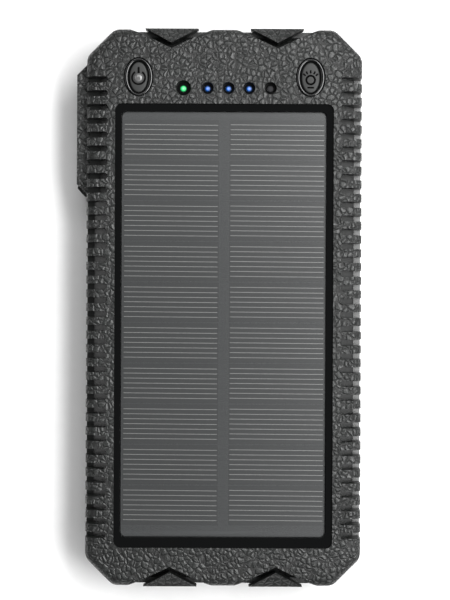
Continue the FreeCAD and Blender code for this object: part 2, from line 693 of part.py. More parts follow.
def key(label, side):
    """Key cap with the flange that keeps it in the case and the stem that works the switch."""
    body = new_body(label)
    x, y = f"{side} * sizes.key_x", "sizes.key_y"
    flange_top = f"({MIDDLE} + {CASE_TOP} - sizes.key_wall - sizes.touch_gap)"
    pad(body, ellipse(body, x, y, "sizes.key_width", "sizes.key_length", flange_top),
        f"sizes.body_height - sizes.key_drop - {flange_top}")
    pad(body, ellipse(body, x, y, "sizes.key_width + 2 * sizes.key_flange",
                      "sizes.key_length + 2 * sizes.key_flange", flange_top),
        "sizes.flange_thick", downward=True)
    plunger_top = f"({BOARD_TOP} + sizes.plunger_height + sizes.touch_gap)"
    pad(body, circle(body, x, y, "sizes.stem_radius", plunger_top),
        f"{flange_top} - {plunger_top}")


def switch(label, side):
    """Tactile switch on the main board, and its plunger as a piece of its own."""
    x, y = f"{side} * sizes.key_x", "sizes.key_y"
    case = block(None, f"{x} - sizes.switch_side / 2", f"{y} - sizes.switch_side / 2",
                 BOARD_TOP, "sizes.switch_side", "sizes.switch_side", "sizes.switch_height")
    bore = rod(None, x, y, f"{BOARD_TOP} + 1", "sizes.plunger_radius + 0.05", "5")
    cut(label, case, [bore])
    rod(label + "_plunger", x, y, f"{BOARD_TOP} + 1.6", "sizes.plunger_radius",
        "sizes.plunger_height - 1.6")


def indicator_lights():
    """Clear guides in a dark holder over five small light-emitting diodes."""
    holder_top = f"({PANEL_SEAT} - sizes.panel_floor + 0.2)"
    holder = block(None, "-15.4", "63.9", BOARD_TOP, "32.3", "4.2",
                   f"{holder_top} - {BOARD_TOP}")
    guides, chips, bores = [], [], []
    guide_foot = f"({BOARD_TOP} + 0.9)"
    for place in LIGHT_X:
        bores.append(rod(None, place, "sizes.light_y", f"{BOARD_TOP} - 1",
                         "sizes.guide_radius", "12"))
        guides.append(rod(None, place, "sizes.light_y", guide_foot, "sizes.guide_radius",
                          f"sizes.body_height - 1.6 - {guide_foot}"))
        chips.append(block(None, f"{place} - 0.8", "sizes.light_y - 0.4", BOARD_TOP,
                           "1.6", "0.8", "0.7"))
    cut("light_guide_holder", holder, bores)
    group("light_guides", guides)
    group("indicator_leds", chips)


# ---------------------------------------------------------------- sockets and their cover

def main_board():
    base = block(None, "-35.2", "32", "sizes.board_bottom", "70.4", "45", "sizes.board_thick")
    corners = [block(None, place, "69.3", "sizes.board_bottom - 1", "7", "8",
                     "sizes.board_thick + 2") for place in ("-35.7", "28.7")]
    holes = [rod(None, x, y, "sizes.board_bottom - 1", "0.8", "sizes.board_thick + 2")
             for x, y in post_places()]
    cut("main_board", base, corners + holes)
    screw_pieces = []
    for x, y in post_places():
        head = rod(None, x, y, BOARD_TOP, "1.6", "0.9")
        shank = rod(None, x, y, f"{BOARD_TOP} - 5", "0.8", "5.2")
        screw_pieces.append(fuse(None, [head, shank]))
    group("board_screws", screw_pieces)


def output_socket(label, place):
    """Pressed steel shell of a USB-A receptacle, open to the left."""
    low_y = f"{place} - sizes.socket_width / 2"
    shell = block(None, "-sizes.socket_mouth", low_y, BOARD_TOP, "sizes.socket_long",
                  "sizes.socket_width", "sizes.socket_height")
    hollow = block(None, "-sizes.socket_mouth - 1", f"{low_y} + 0.35", f"{BOARD_TOP} + 0.3",
                   "sizes.socket_long + 0.7", "sizes.socket_width - 0.7",
                   "sizes.socket_height - 0.6")
    cut(label, shell, [hollow])
    back = block(None, "-sizes.socket_mouth + sizes.socket_long - 3.3", f"{low_y} + 0.35",
                 f"{BOARD_TOP} + 0.3", "3", "sizes.socket_width - 0.7",
                 "sizes.socket_height - 0.6")
    tongue = block(None, "-sizes.socket_mouth + 1.7", f"{place} - 5.55",
                   f"{BOARD_TOP} + 2.9", "9.5", "11.1", "1.85")
    fuse(label + "_tongue", [back, tongue])


def input_socket():
    """Small charging socket under the board."""
    mouth = "-37.0"
    low = "(sizes.board_bottom - 2.5)"
    shell = block(None, mouth, "sizes.small_socket_y - 3.75", low, "5.5", "7.5", "2.5")
    hollow = block(None, f"{mouth} - 1", "sizes.small_socket_y - 3.45", f"{low} + 0.3",
                   "6.2", "6.9", "1.9")
    cut("usb_input", shell, [hollow])
    back = block(None, f"{mouth} + 4.2", "sizes.small_socket_y - 3.45", f"{low} + 0.3",
                 "1", "6.9", "1.9")
    tongue = block(None, f"{mouth} + 0.9", "sizes.small_socket_y - 1.85", f"{low} + 1.2",
                   "3.5", "3.7", "0.6")
    fuse("usb_input_tongue", [back, tongue])


def port_cover():
    """Hinged rubber cover: sloped ends, a finger lip and a plug for each large socket."""
    body = new_body("port_cover")
    side = "-sizes.body_width / 2"
    outer = f"{side} - sizes.cover_bulge"
    inner = f"{side} + sizes.notch_depth - 0.3"
    slope = "sizes.cover_bulge"
    foot = f"{MIDDLE} - sizes.cover_half"
    pad(body, polygon(body, [
        (inner, "sizes.cover_end"), (side, "sizes.cover_end"),
        (outer, f"sizes.cover_end + {slope}"), (outer, f"sizes.cover_top - {slope}"),
        (side, "sizes.cover_top"), (inner, "sizes.cover_top")], foot), "2 * sizes.cover_half")
    pad(body, polygon(body, [
        (f"{outer} + 0.3", f"sizes.cover_end + {slope}"), (f"{side} - 0.5", "sizes.cover_end + 0.6"),
        (f"{side} - 1.2", "sizes.cover_end - 0.2"), (f"{outer} - 0.1", f"sizes.cover_end + {slope} - 1")],
        f"{MIDDLE} - 3"), "6")
    pocket(body, rectangle(body, f"({outer} + {inner}) / 2 + 1.1",
                           "(sizes.window_top + sizes.window_end) / 2",
                           f"{inner} - ({outer}) - 2 + 0.2",
                           "sizes.window_top - sizes.window_end - 0.6",
                           f"{foot} + 1.4"), "2 * sizes.cover_half - 2.8", upward=True)
    for place in ("sizes.socket_high_y", "sizes.socket_low_y"):
        pad(body, rectangle(body, f"(-36.1 + {outer} + 1) / 2", place,
                            f"-36.1 - ({outer}) - 1", "11.4", f"{BOARD_TOP} + 0.8"), "4.1")
    return body


# ---------------------------------------------------------------- electronics

def electronics():
    block("power_inductor", "-16", "44", BOARD_TOP, "7", "7", "4.2")
    block("controller_chip", "0", "47.5", BOARD_TOP, "6", "6", "0.9")
    block("charger_chip", "12", "44", BOARD_TOP, "5", "5", "0.9")
    group("power_transistors", [
        block(None, place, "52", BOARD_TOP, "4.9", "3.9", "1.5") for place in (8, 15, 22)])
    group("capacitors", [
        rod(None, x, y, BOARD_TOP, "2.5", "5.8") for x, y in ((-18, 58), (-10, 58), (24, 60))])
    group("chip_resistors", [
        block(None, f"{2 + 3 * place}", "40", BOARD_TOP, "1.6", "0.8", "0.5")
        for place in range(8)])


def battery():
    low_x, width = "-sizes.cell_block_half", "2 * sizes.cell_block_half"
    low_y, long = "sizes.cell_block_end", "sizes.cell_block_top - sizes.cell_block_end"
    floor = "(sizes.face_skin + sizes.case_skin)"
    block("battery_foam", f"{low_x} + 1.5", f"{low_y} + 2", floor, f"{width} - 3",
          f"{long} - 4", "0.5")
    rear_cell = f"({floor} + 0.5)"
    block("rear_battery_cell", low_x, low_y, rear_cell, width, long, "sizes.pouch_thick")
    middle = f"({rear_cell} + sizes.pouch_thick)"
    block("cell_tape", "-20", f"{low_y} + 10", middle, "40", f"{long} - 20", "0.2")
    front_cell = f"({middle} + 0.2)"
    block("front_battery_cell", low_x, low_y, front_cell, width, long, "sizes.pouch_thick")
    top = "sizes.cell_block_top"
    tabs = [block(None, x, top, f"{level} + 3", "5", "0.6", "0.15")
            for level in (rear_cell, front_cell) for x in ("-12", "7")]
    group("cell_tabs", tabs)
    block("protection_board", "-15", f"{top} + 0.6", f"{rear_cell} + 1", "30", "0.8", "10.5")
    start = number(f"{top} + 1.4")
    bottom = number(BOARD_TOP)
    for x, label in ((8.0, "battery_lead_red"), (11.0, "battery_lead_black")):
        lead(label, [(x, start, 13.2), (x, 34.4, 13.2), (x, 34.4, bottom)], 1.5, 0.65)


def lamp():
    """Rear lamp: clear lens, seal, white reflector and a small board with two light chips."""
    y = "sizes.lamp_y"
    lens = new_body("lamp_lens")
    pad(lens, oval(lens, "0", y, "sizes.lamp_width - 0.2", "sizes.lamp_height - 0.2", "0.8"),
        "1.6")
    seal = new_body("lamp_seal")
    pad(seal, oval(seal, "0", y, "sizes.lamp_width - 0.4", "sizes.lamp_height - 0.4", "2.4"),
        "0.2")
    pocket(seal, oval(seal, "0", y, "sizes.lamp_width - 3", "sizes.lamp_height - 3", "2.6"),
           "0.3")
    low_y = f"{y} - 5.5"
    cones, chips = [], []
    for side in SIDES:
        cone = doc.addObject("Part::Cone", "reflector_cup")
        cone.Radius1, cone.Radius2, cone.Height = 4.2, 2.3, 1.5
        cone.setExpression("Placement.Base.x", f"{side} * 9")
        cone.setExpression("Placement.Base.y", y)
        cone.setExpression("Placement.Base.z", "3.4")
        cones.append(cone)
        chips.append(block(None, f"{side} * 9 - 1.4", f"{y} - 1.4", "4.2", "2.8", "2.8", "0.7"))
    cut("lamp_reflector", block(None, "-19", low_y, "3.4", "38", "11", "1.5"), cones)
    group("lamp_leds", chips)
    block("lamp_board", "-19", low_y, "4.9", "38", "11", "0.8")
    group("lamp_leads", [rod(None, x, f"{y} + 3.5", "5.7", "0.5", "sizes.board_bottom - 5.7")
                         for x in ("-2", "2")])


# ---------------------------------------------------------------- build, check and write

front_bumper()
rear_bumper()
front_case()
rear_case()
case_seal()
screws()
solar_panel()
panel_leads()
key("power_key", -1)
key("lamp_key", 1)
switch("power_switch", -1)
switch("lamp_switch", 1)
indicator_lights()
main_board()
output_socket("usb_output_upper", "sizes.socket_high_y")
output_socket("usb_output_lower", "sizes.socket_low_y")
input_socket()
port_cover()
electronics()
battery()
lamp()
doc.recompute()

failed = [item.Label for item in doc.Objects
          if "Invalid" in item.State or "Error" in item.State]
if failed:
    raise RuntimeError(f"failed objects: {failed}")
for piece in sub_parts:
    if piece.Shape.isNull() or not piece.Shape.isValid():
        raise RuntimeError(f"{piece.Label} has no valid shape")

os.makedirs("parts", exist_ok=True)
for piece in sub_parts:
    piece.Shape.exportStep(f"parts/{piece.Label}.step")
    print(f"{piece.Label}: {len(piece.Shape.Solids)} solid(s), {piece.Shape.Volume:.1f} mm3")
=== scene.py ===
"""Rugged solar power bank: the visible shells, keys, lights and panel, and the finishes of
every other piece, laid out as an add-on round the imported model."""
import json
import math

import bmesh
import bpy
from bpy.props import FloatProperty, FloatVectorProperty, IntProperty, PointerProperty
from mathutils import Matrix, Vector


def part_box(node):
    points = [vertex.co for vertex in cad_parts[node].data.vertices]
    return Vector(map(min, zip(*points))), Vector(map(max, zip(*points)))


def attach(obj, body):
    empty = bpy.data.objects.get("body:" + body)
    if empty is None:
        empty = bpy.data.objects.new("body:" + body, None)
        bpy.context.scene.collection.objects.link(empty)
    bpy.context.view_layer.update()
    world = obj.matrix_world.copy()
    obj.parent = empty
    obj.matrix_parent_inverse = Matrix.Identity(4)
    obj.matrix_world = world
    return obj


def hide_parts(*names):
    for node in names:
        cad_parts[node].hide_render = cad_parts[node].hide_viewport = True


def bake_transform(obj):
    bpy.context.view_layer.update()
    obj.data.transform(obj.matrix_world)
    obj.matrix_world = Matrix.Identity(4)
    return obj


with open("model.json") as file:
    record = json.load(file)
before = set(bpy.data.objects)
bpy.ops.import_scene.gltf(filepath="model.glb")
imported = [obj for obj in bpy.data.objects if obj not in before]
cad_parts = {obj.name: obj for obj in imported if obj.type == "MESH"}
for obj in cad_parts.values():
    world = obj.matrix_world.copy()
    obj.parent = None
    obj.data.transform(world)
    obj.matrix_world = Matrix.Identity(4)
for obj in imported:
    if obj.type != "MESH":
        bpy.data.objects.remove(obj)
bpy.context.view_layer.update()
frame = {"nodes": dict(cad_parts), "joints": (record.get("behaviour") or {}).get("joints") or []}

bl_info = {
    "name": "Rugged solar power bank",
    "version": (1, 0, 0),
    "blender": (4, 5, 0),
    "location": "View3D > Sidebar > Power bank",
    "description": "Builds a rugged solar power bank piece by piece round its packed model",
    "category": "Add Mesh",
}

MM = 0.001
UP = Vector((0, 0, 1))


# ---- measures

def span(node):
    """A node's lowest and highest corners, in millimetres."""
    low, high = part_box(node)
    return Vector(low) / MM, Vector(high) / MM


def centre(node):
    low, high = span(node)
    return (low + high) / 2


def extent(node):
    low, high = span(node)
    return high - low


FRONT_LOW, FRONT_HIGH = span("front_bumper")
MIDDLE = FRONT_LOW.z
TAB_PROUD, TAB_POINT_DROP = 0.5, 0.1
SHELL = extent("front_bumper") - Vector((0, 2 * TAB_PROUD, 0))
CASE = extent("front_housing")
COVER_LOW, COVER_HIGH = span("port_cover")
GUIDES_LOW, GUIDES_HIGH = span("light_guides")
HINGE = next(joint for joint in frame["joints"] if joint["name"] == "port_cover_hinge")
HINGE_AT = Vector(HINGE["pos_m"]) / MM

# lengths in millimetres that no node's box gives
PAST = 1.5  # how far a cutting tool runs past a surface
CASE_CORNER, CASE_SLOPE, FACE_SKIN = 5.5, 3.45, 1.8
FACE_HOLE_DEPTH = 2.5
PANEL_OPENING = (-32.9, 32.9, -67.25, 66.35)  # left, right, near and far edges from the film
COLLAR = (9.0, 11.8)  # width and length of a key's opening
COLLAR_INNER, COLLAR_WALL = (2.95, 4.775), (1.55, 1.125)  # each across and along the ring
KEY_CAP = (5.6, 9.25)  # width and length
KEY_CAP_TALL, FLANGE_TALL, STEM_RADIUS = 2.9, 1.3, 1.6
SIGN_SUNK, SIGN_PROUD, SIGN_SHIFT = 0.12, 0.06, 0.2
MIDDLE_LIGHTS = (-5.1, 1.2, 7.4)  # places of the lights between the two outer ones
GREEN_HOLE, BLUE_HOLE, GUIDE_RADIUS = 2.25, 1.8, 0.98
COVER_ROOM, NOTCH_DEPTH = 0.2, 2.7
WINDOW = (35.8, 66.6, 5.4, 7.0)  # both ends, half the height, depth
SCREWS = (31.2, 28.0, 2.35, 2.4)  # far row, near row, from the ends, hole radius
CELL_LONG = 11.9


# ---- settings

def millimetres(name, description, default):
    return FloatProperty(name=name, description=description, default=default, min=0.0,
                         precision=2)


def colour(name, description, default):
    return FloatVectorProperty(name=name, description=description, default=default,
                               subtype="COLOR", size=3, min=0.0, max=1.0)


class ShellSettings(bpy.types.PropertyGroup):
    corner: millimetres("Cut corner", "Length of each 45 degree cut corner (mm)", 8.4)
    corner_round: millimetres("Corner rounding", "Radius where the cuts start (mm)", 3.6)
    shoulder: millimetres("Shoulder", "Radius between the face and the sides (mm)", 3.0)
    band_inset: millimetres("Band inset", "How far the middle band stands back (mm)", 0.3)
    band_half: millimetres("Half band", "Half the height of the middle band (mm)", 1.6)
    groove_pitch: millimetres("Groove pitch", "Distance between grip grooves (mm)", 4.15)
    groove_width: millimetres("Groove width", "Width of a grip groove (mm)", 1.8)
    groove_reach: millimetres("Groove reach", "How far a groove runs inward (mm)", 6.5)
    groove_step: millimetres("Groove step", "Depth of a groove's inner end (mm)", 2.2)
    ledge: millimetres("Ledge", "Flat at the outer end of a groove (mm)", 2.1)
    ledge_height: millimetres("Ledge height", "Ledge above the middle plane (mm)", 4.0)
    groove_count: IntProperty(name="Grooves", description="Grooves down each long side",
                              default=34, min=1)
    covered_grooves: IntProperty(name="Grooves at the cover",
                                 description="Grooves that stop above the port cover",
                                 default=9, min=0)
    edge_round: millimetres("Edge rounding", "Radius of the moulded edges (mm)", 0.28)


class ChevronSettings(bpy.types.PropertyGroup):
    shift: millimetres("Shift", "Distance of a chevron from the middle line (mm)", 16.0)
    half: millimetres("Half width", "Half the tab's width at the end (mm)", 8.1)
    depth: millimetres("Depth", "How far the tab reaches inward (mm)", 3.8)
    channel: millimetres("Channel", "Extra reach of the channel round the tab (mm)", 2.2)
    lip: millimetres("Lip", "Depth of the channel at its point (mm)", 1.6)
    ledge: millimetres("Ledge", "Flat at the outer end of a channel (mm)", 1.7)
    tab_depth: millimetres("Tab depth", "Length of the tab from edge to point (mm)", 4.8)
    tab_proud: millimetres("Tab proud", "How far the tab stands past the end (mm)",
                            TAB_PROUD)
    tab_drop: millimetres("Tab drop", "Fall of the tab to its outer edge (mm)", 3.5)


class PanelSettings(bpy.types.PropertyGroup):
    rows: IntProperty(name="Rows", description="Rows of cells", default=10, min=1)
    fingers: IntProperty(name="Fingers", description="Silver lines on a cell", default=7, min=1)
    finger_pitch: millimetres("Finger pitch", "Distance between silver lines (mm)", 1.49)
    finger_width: millimetres("Finger width", "Width of a silver line (mm)", 0.2)
    finger_start: millimetres("Finger start", "Gap from the middle line (mm)", 1.9)
    finger_end: millimetres("Finger end", "Outer end from the middle line (mm)", 30.1)
    tilt: FloatProperty(name="Tilt", description="Turn of the printed lines on each cell",
                        default=math.radians(-0.4), subtype="ANGLE")


class FinishSettings(bpy.types.PropertyGroup):
    rubber: colour("Rubber", "Colour of the grained rubber", (0.0125, 0.0137, 0.0132))
    gloss: colour("Gloss plastic", "Colour of the glossy case", (0.002, 0.0022, 0.0023))
    key: colour("Key plastic", "Colour of the key caps", (0.020, 0.021, 0.0205))
    silicon: colour("Silicon", "Colour of the cells", (0.023, 0.024, 0.026))
    film: colour("Film", "Colour of the panel's matt film", (0.058, 0.061, 0.062))
    silver: colour("Silver", "Colour of the cells' printed lines", (0.42, 0.42, 0.41))
    grain: millimetres("Grain", "Width of a leather pebble (mm)", 1.7)


def settings(name):
    return getattr(bpy.context.scene, "power_bank_" + name)


# ---- shader language

class Wire:
    """A value in a material's node tree that takes part in Python arithmetic."""

    def __init__(self, recipe, socket):
        self.recipe = recipe
        self.socket = socket

    def _math(self, operation, *values):
        return self.recipe.node("Math", {"operation": operation}, list(values))

    def __add__(self, other):
        return self._math("ADD", self, other)

    def __radd__(self, other):
        return self._math("ADD", other, self)

    def __sub__(self, other):
        return self._math("SUBTRACT", self, other)

    def __rsub__(self, other):
        return self._math("SUBTRACT", other, self)

    def __mul__(self, other):
        return self._math("MULTIPLY", self, other)

    def __rmul__(self, other):
        return self._math("MULTIPLY", other, self)

    def at_most(self, other):
        return self._math("MINIMUM", self, other)


class Recipe:
    """A procedural material under construction."""

    def __init__(self, name):
        self.material = bpy.data.materials.new(name)
        self.material.use_nodes = True
        self.tree = self.material.node_tree
        self.shader = self.tree.nodes["Principled BSDF"]
        self._place = None

    def node(self, kind, settings=None, values=(), output=0):
        """Add a shader node: its settings first, then the values or links of its sockets."""
        made = self.tree.nodes.new("ShaderNode" + kind)
        for name, value in (settings or {}).items():
            setattr(made, name, value)
        pairs = values.items() if isinstance(values, dict) else enumerate(values)
        for slot, value in pairs:
            if value is not None:
                self.feed(made.inputs[slot], value)
        return Wire(self, made.outputs[output])

    def feed(self, socket, value):
        if isinstance(value, Wire):
            self.tree.links.new(value.socket, socket)
        else:
            socket.default_value = value

    @property
    def place(self):
        """Object coordinates, in metres."""
        if self._place is None:
            self._place = self.node("TexCoord", output="Object")
        return self._place

    def scaled(self, scale):
        """Object coordinates multiplied by a scale for each axis."""
        return self.node("Mapping", values={"Vector": self.place, "Scale": scale})

    def noise(self, scale, detail=3.0, rough=0.5, vector=None, output="Fac"):
        return self.node("TexNoise", values={
            "Vector": vector or self.place, "Scale": scale, "Detail": detail,
            "Roughness": rough}, output=output)

    def ramp(self, value, low, high):
        """Smooth step of a value between two limits."""
        return self.node("MapRange", {"interpolation_type": "SMOOTHSTEP"},
                         {"Value": value, "From Min": low, "From Max": high})

    def mix(self, factor, first, second):
        """Blend of two colours."""
        return self.node("Mix", {"data_type": "RGBA"}, {
            0: factor, 6: first if isinstance(first, Wire) else (*first, 1.0),
            7: second if isinstance(second, Wire) else (*second, 1.0)}, output=2)

    def warp(self, vector, amount, scale):
        """A coordinate pushed about by noise."""
        push = self.noise(scale, 2.0, vector=vector, output="Color")
        centred = self.node("VectorMath", {"operation": "SUBTRACT"},
                            [push, (0.5, 0.5, 0.5)])
        scaled = self.node("VectorMath", {"operation": "SCALE"},
                           {"Vector": centred, "Scale": amount})
        return self.node("VectorMath", {"operation": "ADD"}, [vector, scaled])

    def bump(self, height, depth, strength=1.0, after=None):
        values = {"Strength": strength, "Distance": depth, "Height": height}
        if after is not None:
            values["Normal"] = after
        return self.node("Bump", values=values)

    def finish(self, **sockets):
        """Feed the shader: keyword names are its sockets with spaces as underscores."""
        for name, value in sockets.items():
            socket = self.shader.inputs[name.replace("_", " ")]
            if isinstance(value, tuple) and len(value) == 3 and socket.type == "RGBA":
                value = (*value, 1.0)
            self.feed(socket, value)
        return self.material


# ---- finishes

def shade_of(value):
    """A colour, or the colour that the finish settings hold under a name."""
    return tuple(getattr(settings("finish"), value)) if isinstance(value, str) else value


def tint(shade, factor):
    return tuple(min(1.0, part * factor) for part in shade)


def leather_height(recipe, pebble):
    """Height of pebbled leather, 0 in the creases to about 1 on the pebbles."""
    cells = recipe.scaled((1 / pebble,) * 3)
    bent = recipe.warp(cells, 0.5, 0.9)
    crease = recipe.node("TexVoronoi", {"feature": "DISTANCE_TO_EDGE"},
                         {"Vector": bent, "Scale": 1.0, "Randomness": 0.9})
    small = recipe.node("TexVoronoi", {"feature": "DISTANCE_TO_EDGE"},
                        {"Vector": bent, "Scale": 2.3, "Randomness": 1.0})
    pillow = recipe.ramp(crease, 0.0, 0.26)
    wrinkle = recipe.ramp(small, 0.0, 0.12)
    return pillow * 0.5 + crease * 0.35 + wrinkle * 0.05, crease


def grained_rubber(name, fineness):
    """Moulded rubber with a leather grain, and painted shade darkening the grain's creases."""
    recipe = Recipe(name)
    shade = shade_of("rubber")
    height, crease = leather_height(recipe, settings("finish").grain * fineness * MM)
    fine = recipe.noise(5200.0, 4.0, 0.6)
    patches = recipe.noise(55.0, 3.0)
    crease_shade_mask = recipe.ramp(crease, 0.0, 0.14)
    worn = recipe.mix(recipe.ramp(patches, 0.3, 0.7), tint(shade, 0.7), tint(shade, 1.4))
    # painted shade: the creases are darkened to 0.12 of the rubber's colour; the same mask also
    # sets roughness
    base = recipe.mix(crease_shade_mask, tint(shade, 0.12), worn)
    coarse_bump = recipe.bump(height, 0.3 * MM, 1.0)
    return recipe.finish(
        Base_Color=base, Roughness=0.58 - 0.22 * crease_shade_mask + 0.14 * (fine - 0.5),
        Normal=recipe.bump(fine, 0.02 * MM, 0.4, after=coarse_bump),
        Specular_IOR_Level=0.40)


def smooth_rubber(name, shade, roughness=0.55):
    """Rubber with a fine matt skin."""
    recipe = Recipe(name)
    mottle = recipe.noise(900.0, 4.0, 0.6)
    fine = recipe.noise(9000.0, 3.0, 0.6)
    base = recipe.mix(mottle, tint(shade, 0.8), tint(shade, 1.25))
    return recipe.finish(Base_Color=base, Roughness=roughness + 0.15 * (mottle - 0.5),
                         Normal=recipe.bump(fine, 0.012 * MM, 0.4))


# smooth rubber for the grooves and channels; its colour is darkened to 0.9 of the rubber as
# painted shade in the grooves
def groove_rubber(name):
    return smooth_rubber(name, tint(shade_of("rubber"), 0.9), 0.36)


def moulded_plastic(name, shade, roughness, texture=0.01, level=0.5):
    """Injection moulded plastic: faint flow marks and a spark-eroded or polished skin."""
    recipe = Recipe(name)
    shade = shade_of(shade)
    flow = recipe.noise(45.0, 2.0, 0.5)
    skin = recipe.noise(7000.0, 3.0, 0.55)
    base = recipe.mix(flow, tint(shade, 0.9), tint(shade, 1.12))
    return recipe.finish(Base_Color=base, Roughness=roughness * (0.85 + 0.3 * flow),
                         Normal=recipe.bump(skin, texture * MM, 0.35),
                         Specular_IOR_Level=level)


def sheet_steel(name, shade, roughness=0.25):
    """Bright rolled steel with fine drawing lines along X."""
    recipe = Recipe(name)
    lines = recipe.noise(1.0, 5.0, 0.7, recipe.scaled((300.0, 4000.0, 4000.0)))
    smudge = recipe.noise(200.0, 3.0)
    base = recipe.mix(smudge, tint(shade, 0.85), tint(shade, 1.1))
    return recipe.finish(Base_Color=base, Metallic=1.0,
                         Roughness=roughness + 0.2 * (lines - 0.5),
                         Normal=recipe.bump(lines, 0.004 * MM, 0.5))


def glass_epoxy(name):
    """Green solder mask over copper tracks and a woven glass board."""
    recipe = Recipe(name)
    mask = (0.012, 0.10, 0.045)
    grid = recipe.scaled((620.0, 620.0, 620.0))
    tracks = recipe.node("TexBrick", {"offset": 0.35, "squash": 1.6}, {
        "Vector": grid, "Scale": 1.0, "Mortar Size": 0.08, "Brick Width": 2.4,
        "Row Height": 0.7}, output="Fac")
    weave = recipe.noise(2500.0, 2.0)
    base = recipe.mix(tracks, mask, tint(mask, 2.2))
    return recipe.finish(Base_Color=base, Roughness=0.32 + 0.12 * weave,
                         Normal=recipe.bump(tracks, 0.03 * MM, 0.6))


def silicon_cell(name):
    """Dark silicon with the soft mottling of its etched surface."""
    recipe = Recipe(name)
    shade = shade_of("silicon")
    etch = recipe.noise(4200.0, 4.0, 0.65)
    cloud = recipe.noise(25.0, 2.0)
    base = recipe.mix(cloud, tint(shade, 0.85), tint(shade, 1.15))
    speckled = recipe.mix(recipe.ramp(etch, 0.35, 0.75), base, tint(shade, 1.6))
    return recipe.finish(Base_Color=speckled, Roughness=0.42, Metallic=0.15,
                         Normal=recipe.bump(etch, 0.01 * MM, 0.5))


def matt_film(name):
    """Matt encapsulating film: a pale haze with a fine orange-peel skin."""
    recipe = Recipe(name)
    shade = shade_of("film")
    peel = recipe.noise(3200.0, 4.0, 0.6)
    haze = recipe.noise(18.0, 2.0)
    base = recipe.mix(haze, tint(shade, 0.92), tint(shade, 1.08))
    return recipe.finish(Base_Color=base, Roughness=0.28 + 0.10 * peel, Alpha=0.5,
                         Normal=recipe.bump(peel, 0.016 * MM, 0.6),
                         Specular_IOR_Level=0.85)


def clear_plastic(name, shade, alpha, roughness):
    """Clear moulded plastic with faint ripples."""
    recipe = Recipe(name)
    ripple = recipe.noise(260.0, 2.0)
    return recipe.finish(Base_Color=recipe.mix(ripple, tint(shade, 0.95), shade),
                         Roughness=roughness, Alpha=alpha, IOR=1.49,
                         Normal=recipe.bump(ripple, 0.02 * MM, 0.3))


def glowing(name, shade, strength, core):
    """A light guide's lit end: pale in its middle and fading to its rim."""
    recipe = Recipe(name)
    distances = []
    for place, _hole in light_places():
        away = recipe.node("VectorMath", {"operation": "SUBTRACT"},
                           [recipe.place, (place.x * MM, place.y * MM, 0.0)])
        flat = recipe.node("VectorMath", {"operation": "MULTIPLY"}, [away, (1.0, 1.0, 0.0)])
        distances.append(recipe.node("VectorMath", {"operation": "LENGTH"}, [flat],
                                     output="Value"))
    nearest = distances[0]
    for other in distances[1:]:
        nearest = nearest.at_most(other)
    rim = recipe.ramp(nearest, 0.35 * MM, core * MM)
    middle = recipe.ramp(nearest, 0.05 * MM, 0.5 * MM)
    pale = tuple(0.6 * part + 0.4 for part in shade)
    lit = recipe.mix(rim, recipe.mix(middle, pale, shade), tint(shade, 0.02))
    return recipe.finish(Base_Color=tint(shade, 0.1), Roughness=0.3, Emission_Color=lit,
                         Emission_Strength=strength)


def foil(name, shade):
    """Laminated aluminium pouch with crinkles."""
    recipe = Recipe(name)
    crinkle = recipe.noise(140.0, 5.0, 0.6)
    fine = recipe.noise(1300.0, 3.0)
    return recipe.finish(Base_Color=recipe.mix(crinkle, tint(shade, 0.85), shade),
                         Metallic=0.9, Roughness=0.3 + 0.25 * crinkle,
                         Normal=recipe.bump(crinkle + 0.2 * fine, 0.2 * MM, 0.6))


def foam(name, shade):
    """Foam with small open pores."""
    recipe = Recipe(name)
    pores = recipe.node("TexVoronoi", {"feature": "F1"},
                        {"Vector": recipe.place, "Scale": 2400.0}, output="Distance")
    return recipe.finish(Base_Color=recipe.mix(pores, tint(shade, 0.6), tint(shade, 1.2)),
                         Roughness=0.9, Normal=recipe.bump(pores, 0.08 * MM, 0.9))


def solder_metal(name, shade, metallic=0.8):
    """Dull cast or printed metal."""
    recipe = Recipe(name)
    shade = shade_of(shade)
    cast = recipe.noise(2200.0, 3.0)
    return recipe.finish(Base_Color=recipe.mix(cast, tint(shade, 0.8), tint(shade, 1.1)),
                         Metallic=metallic, Roughness=0.3 + 0.2 * cast,
                         Normal=recipe.bump(cast, 0.02 * MM, 0.5))


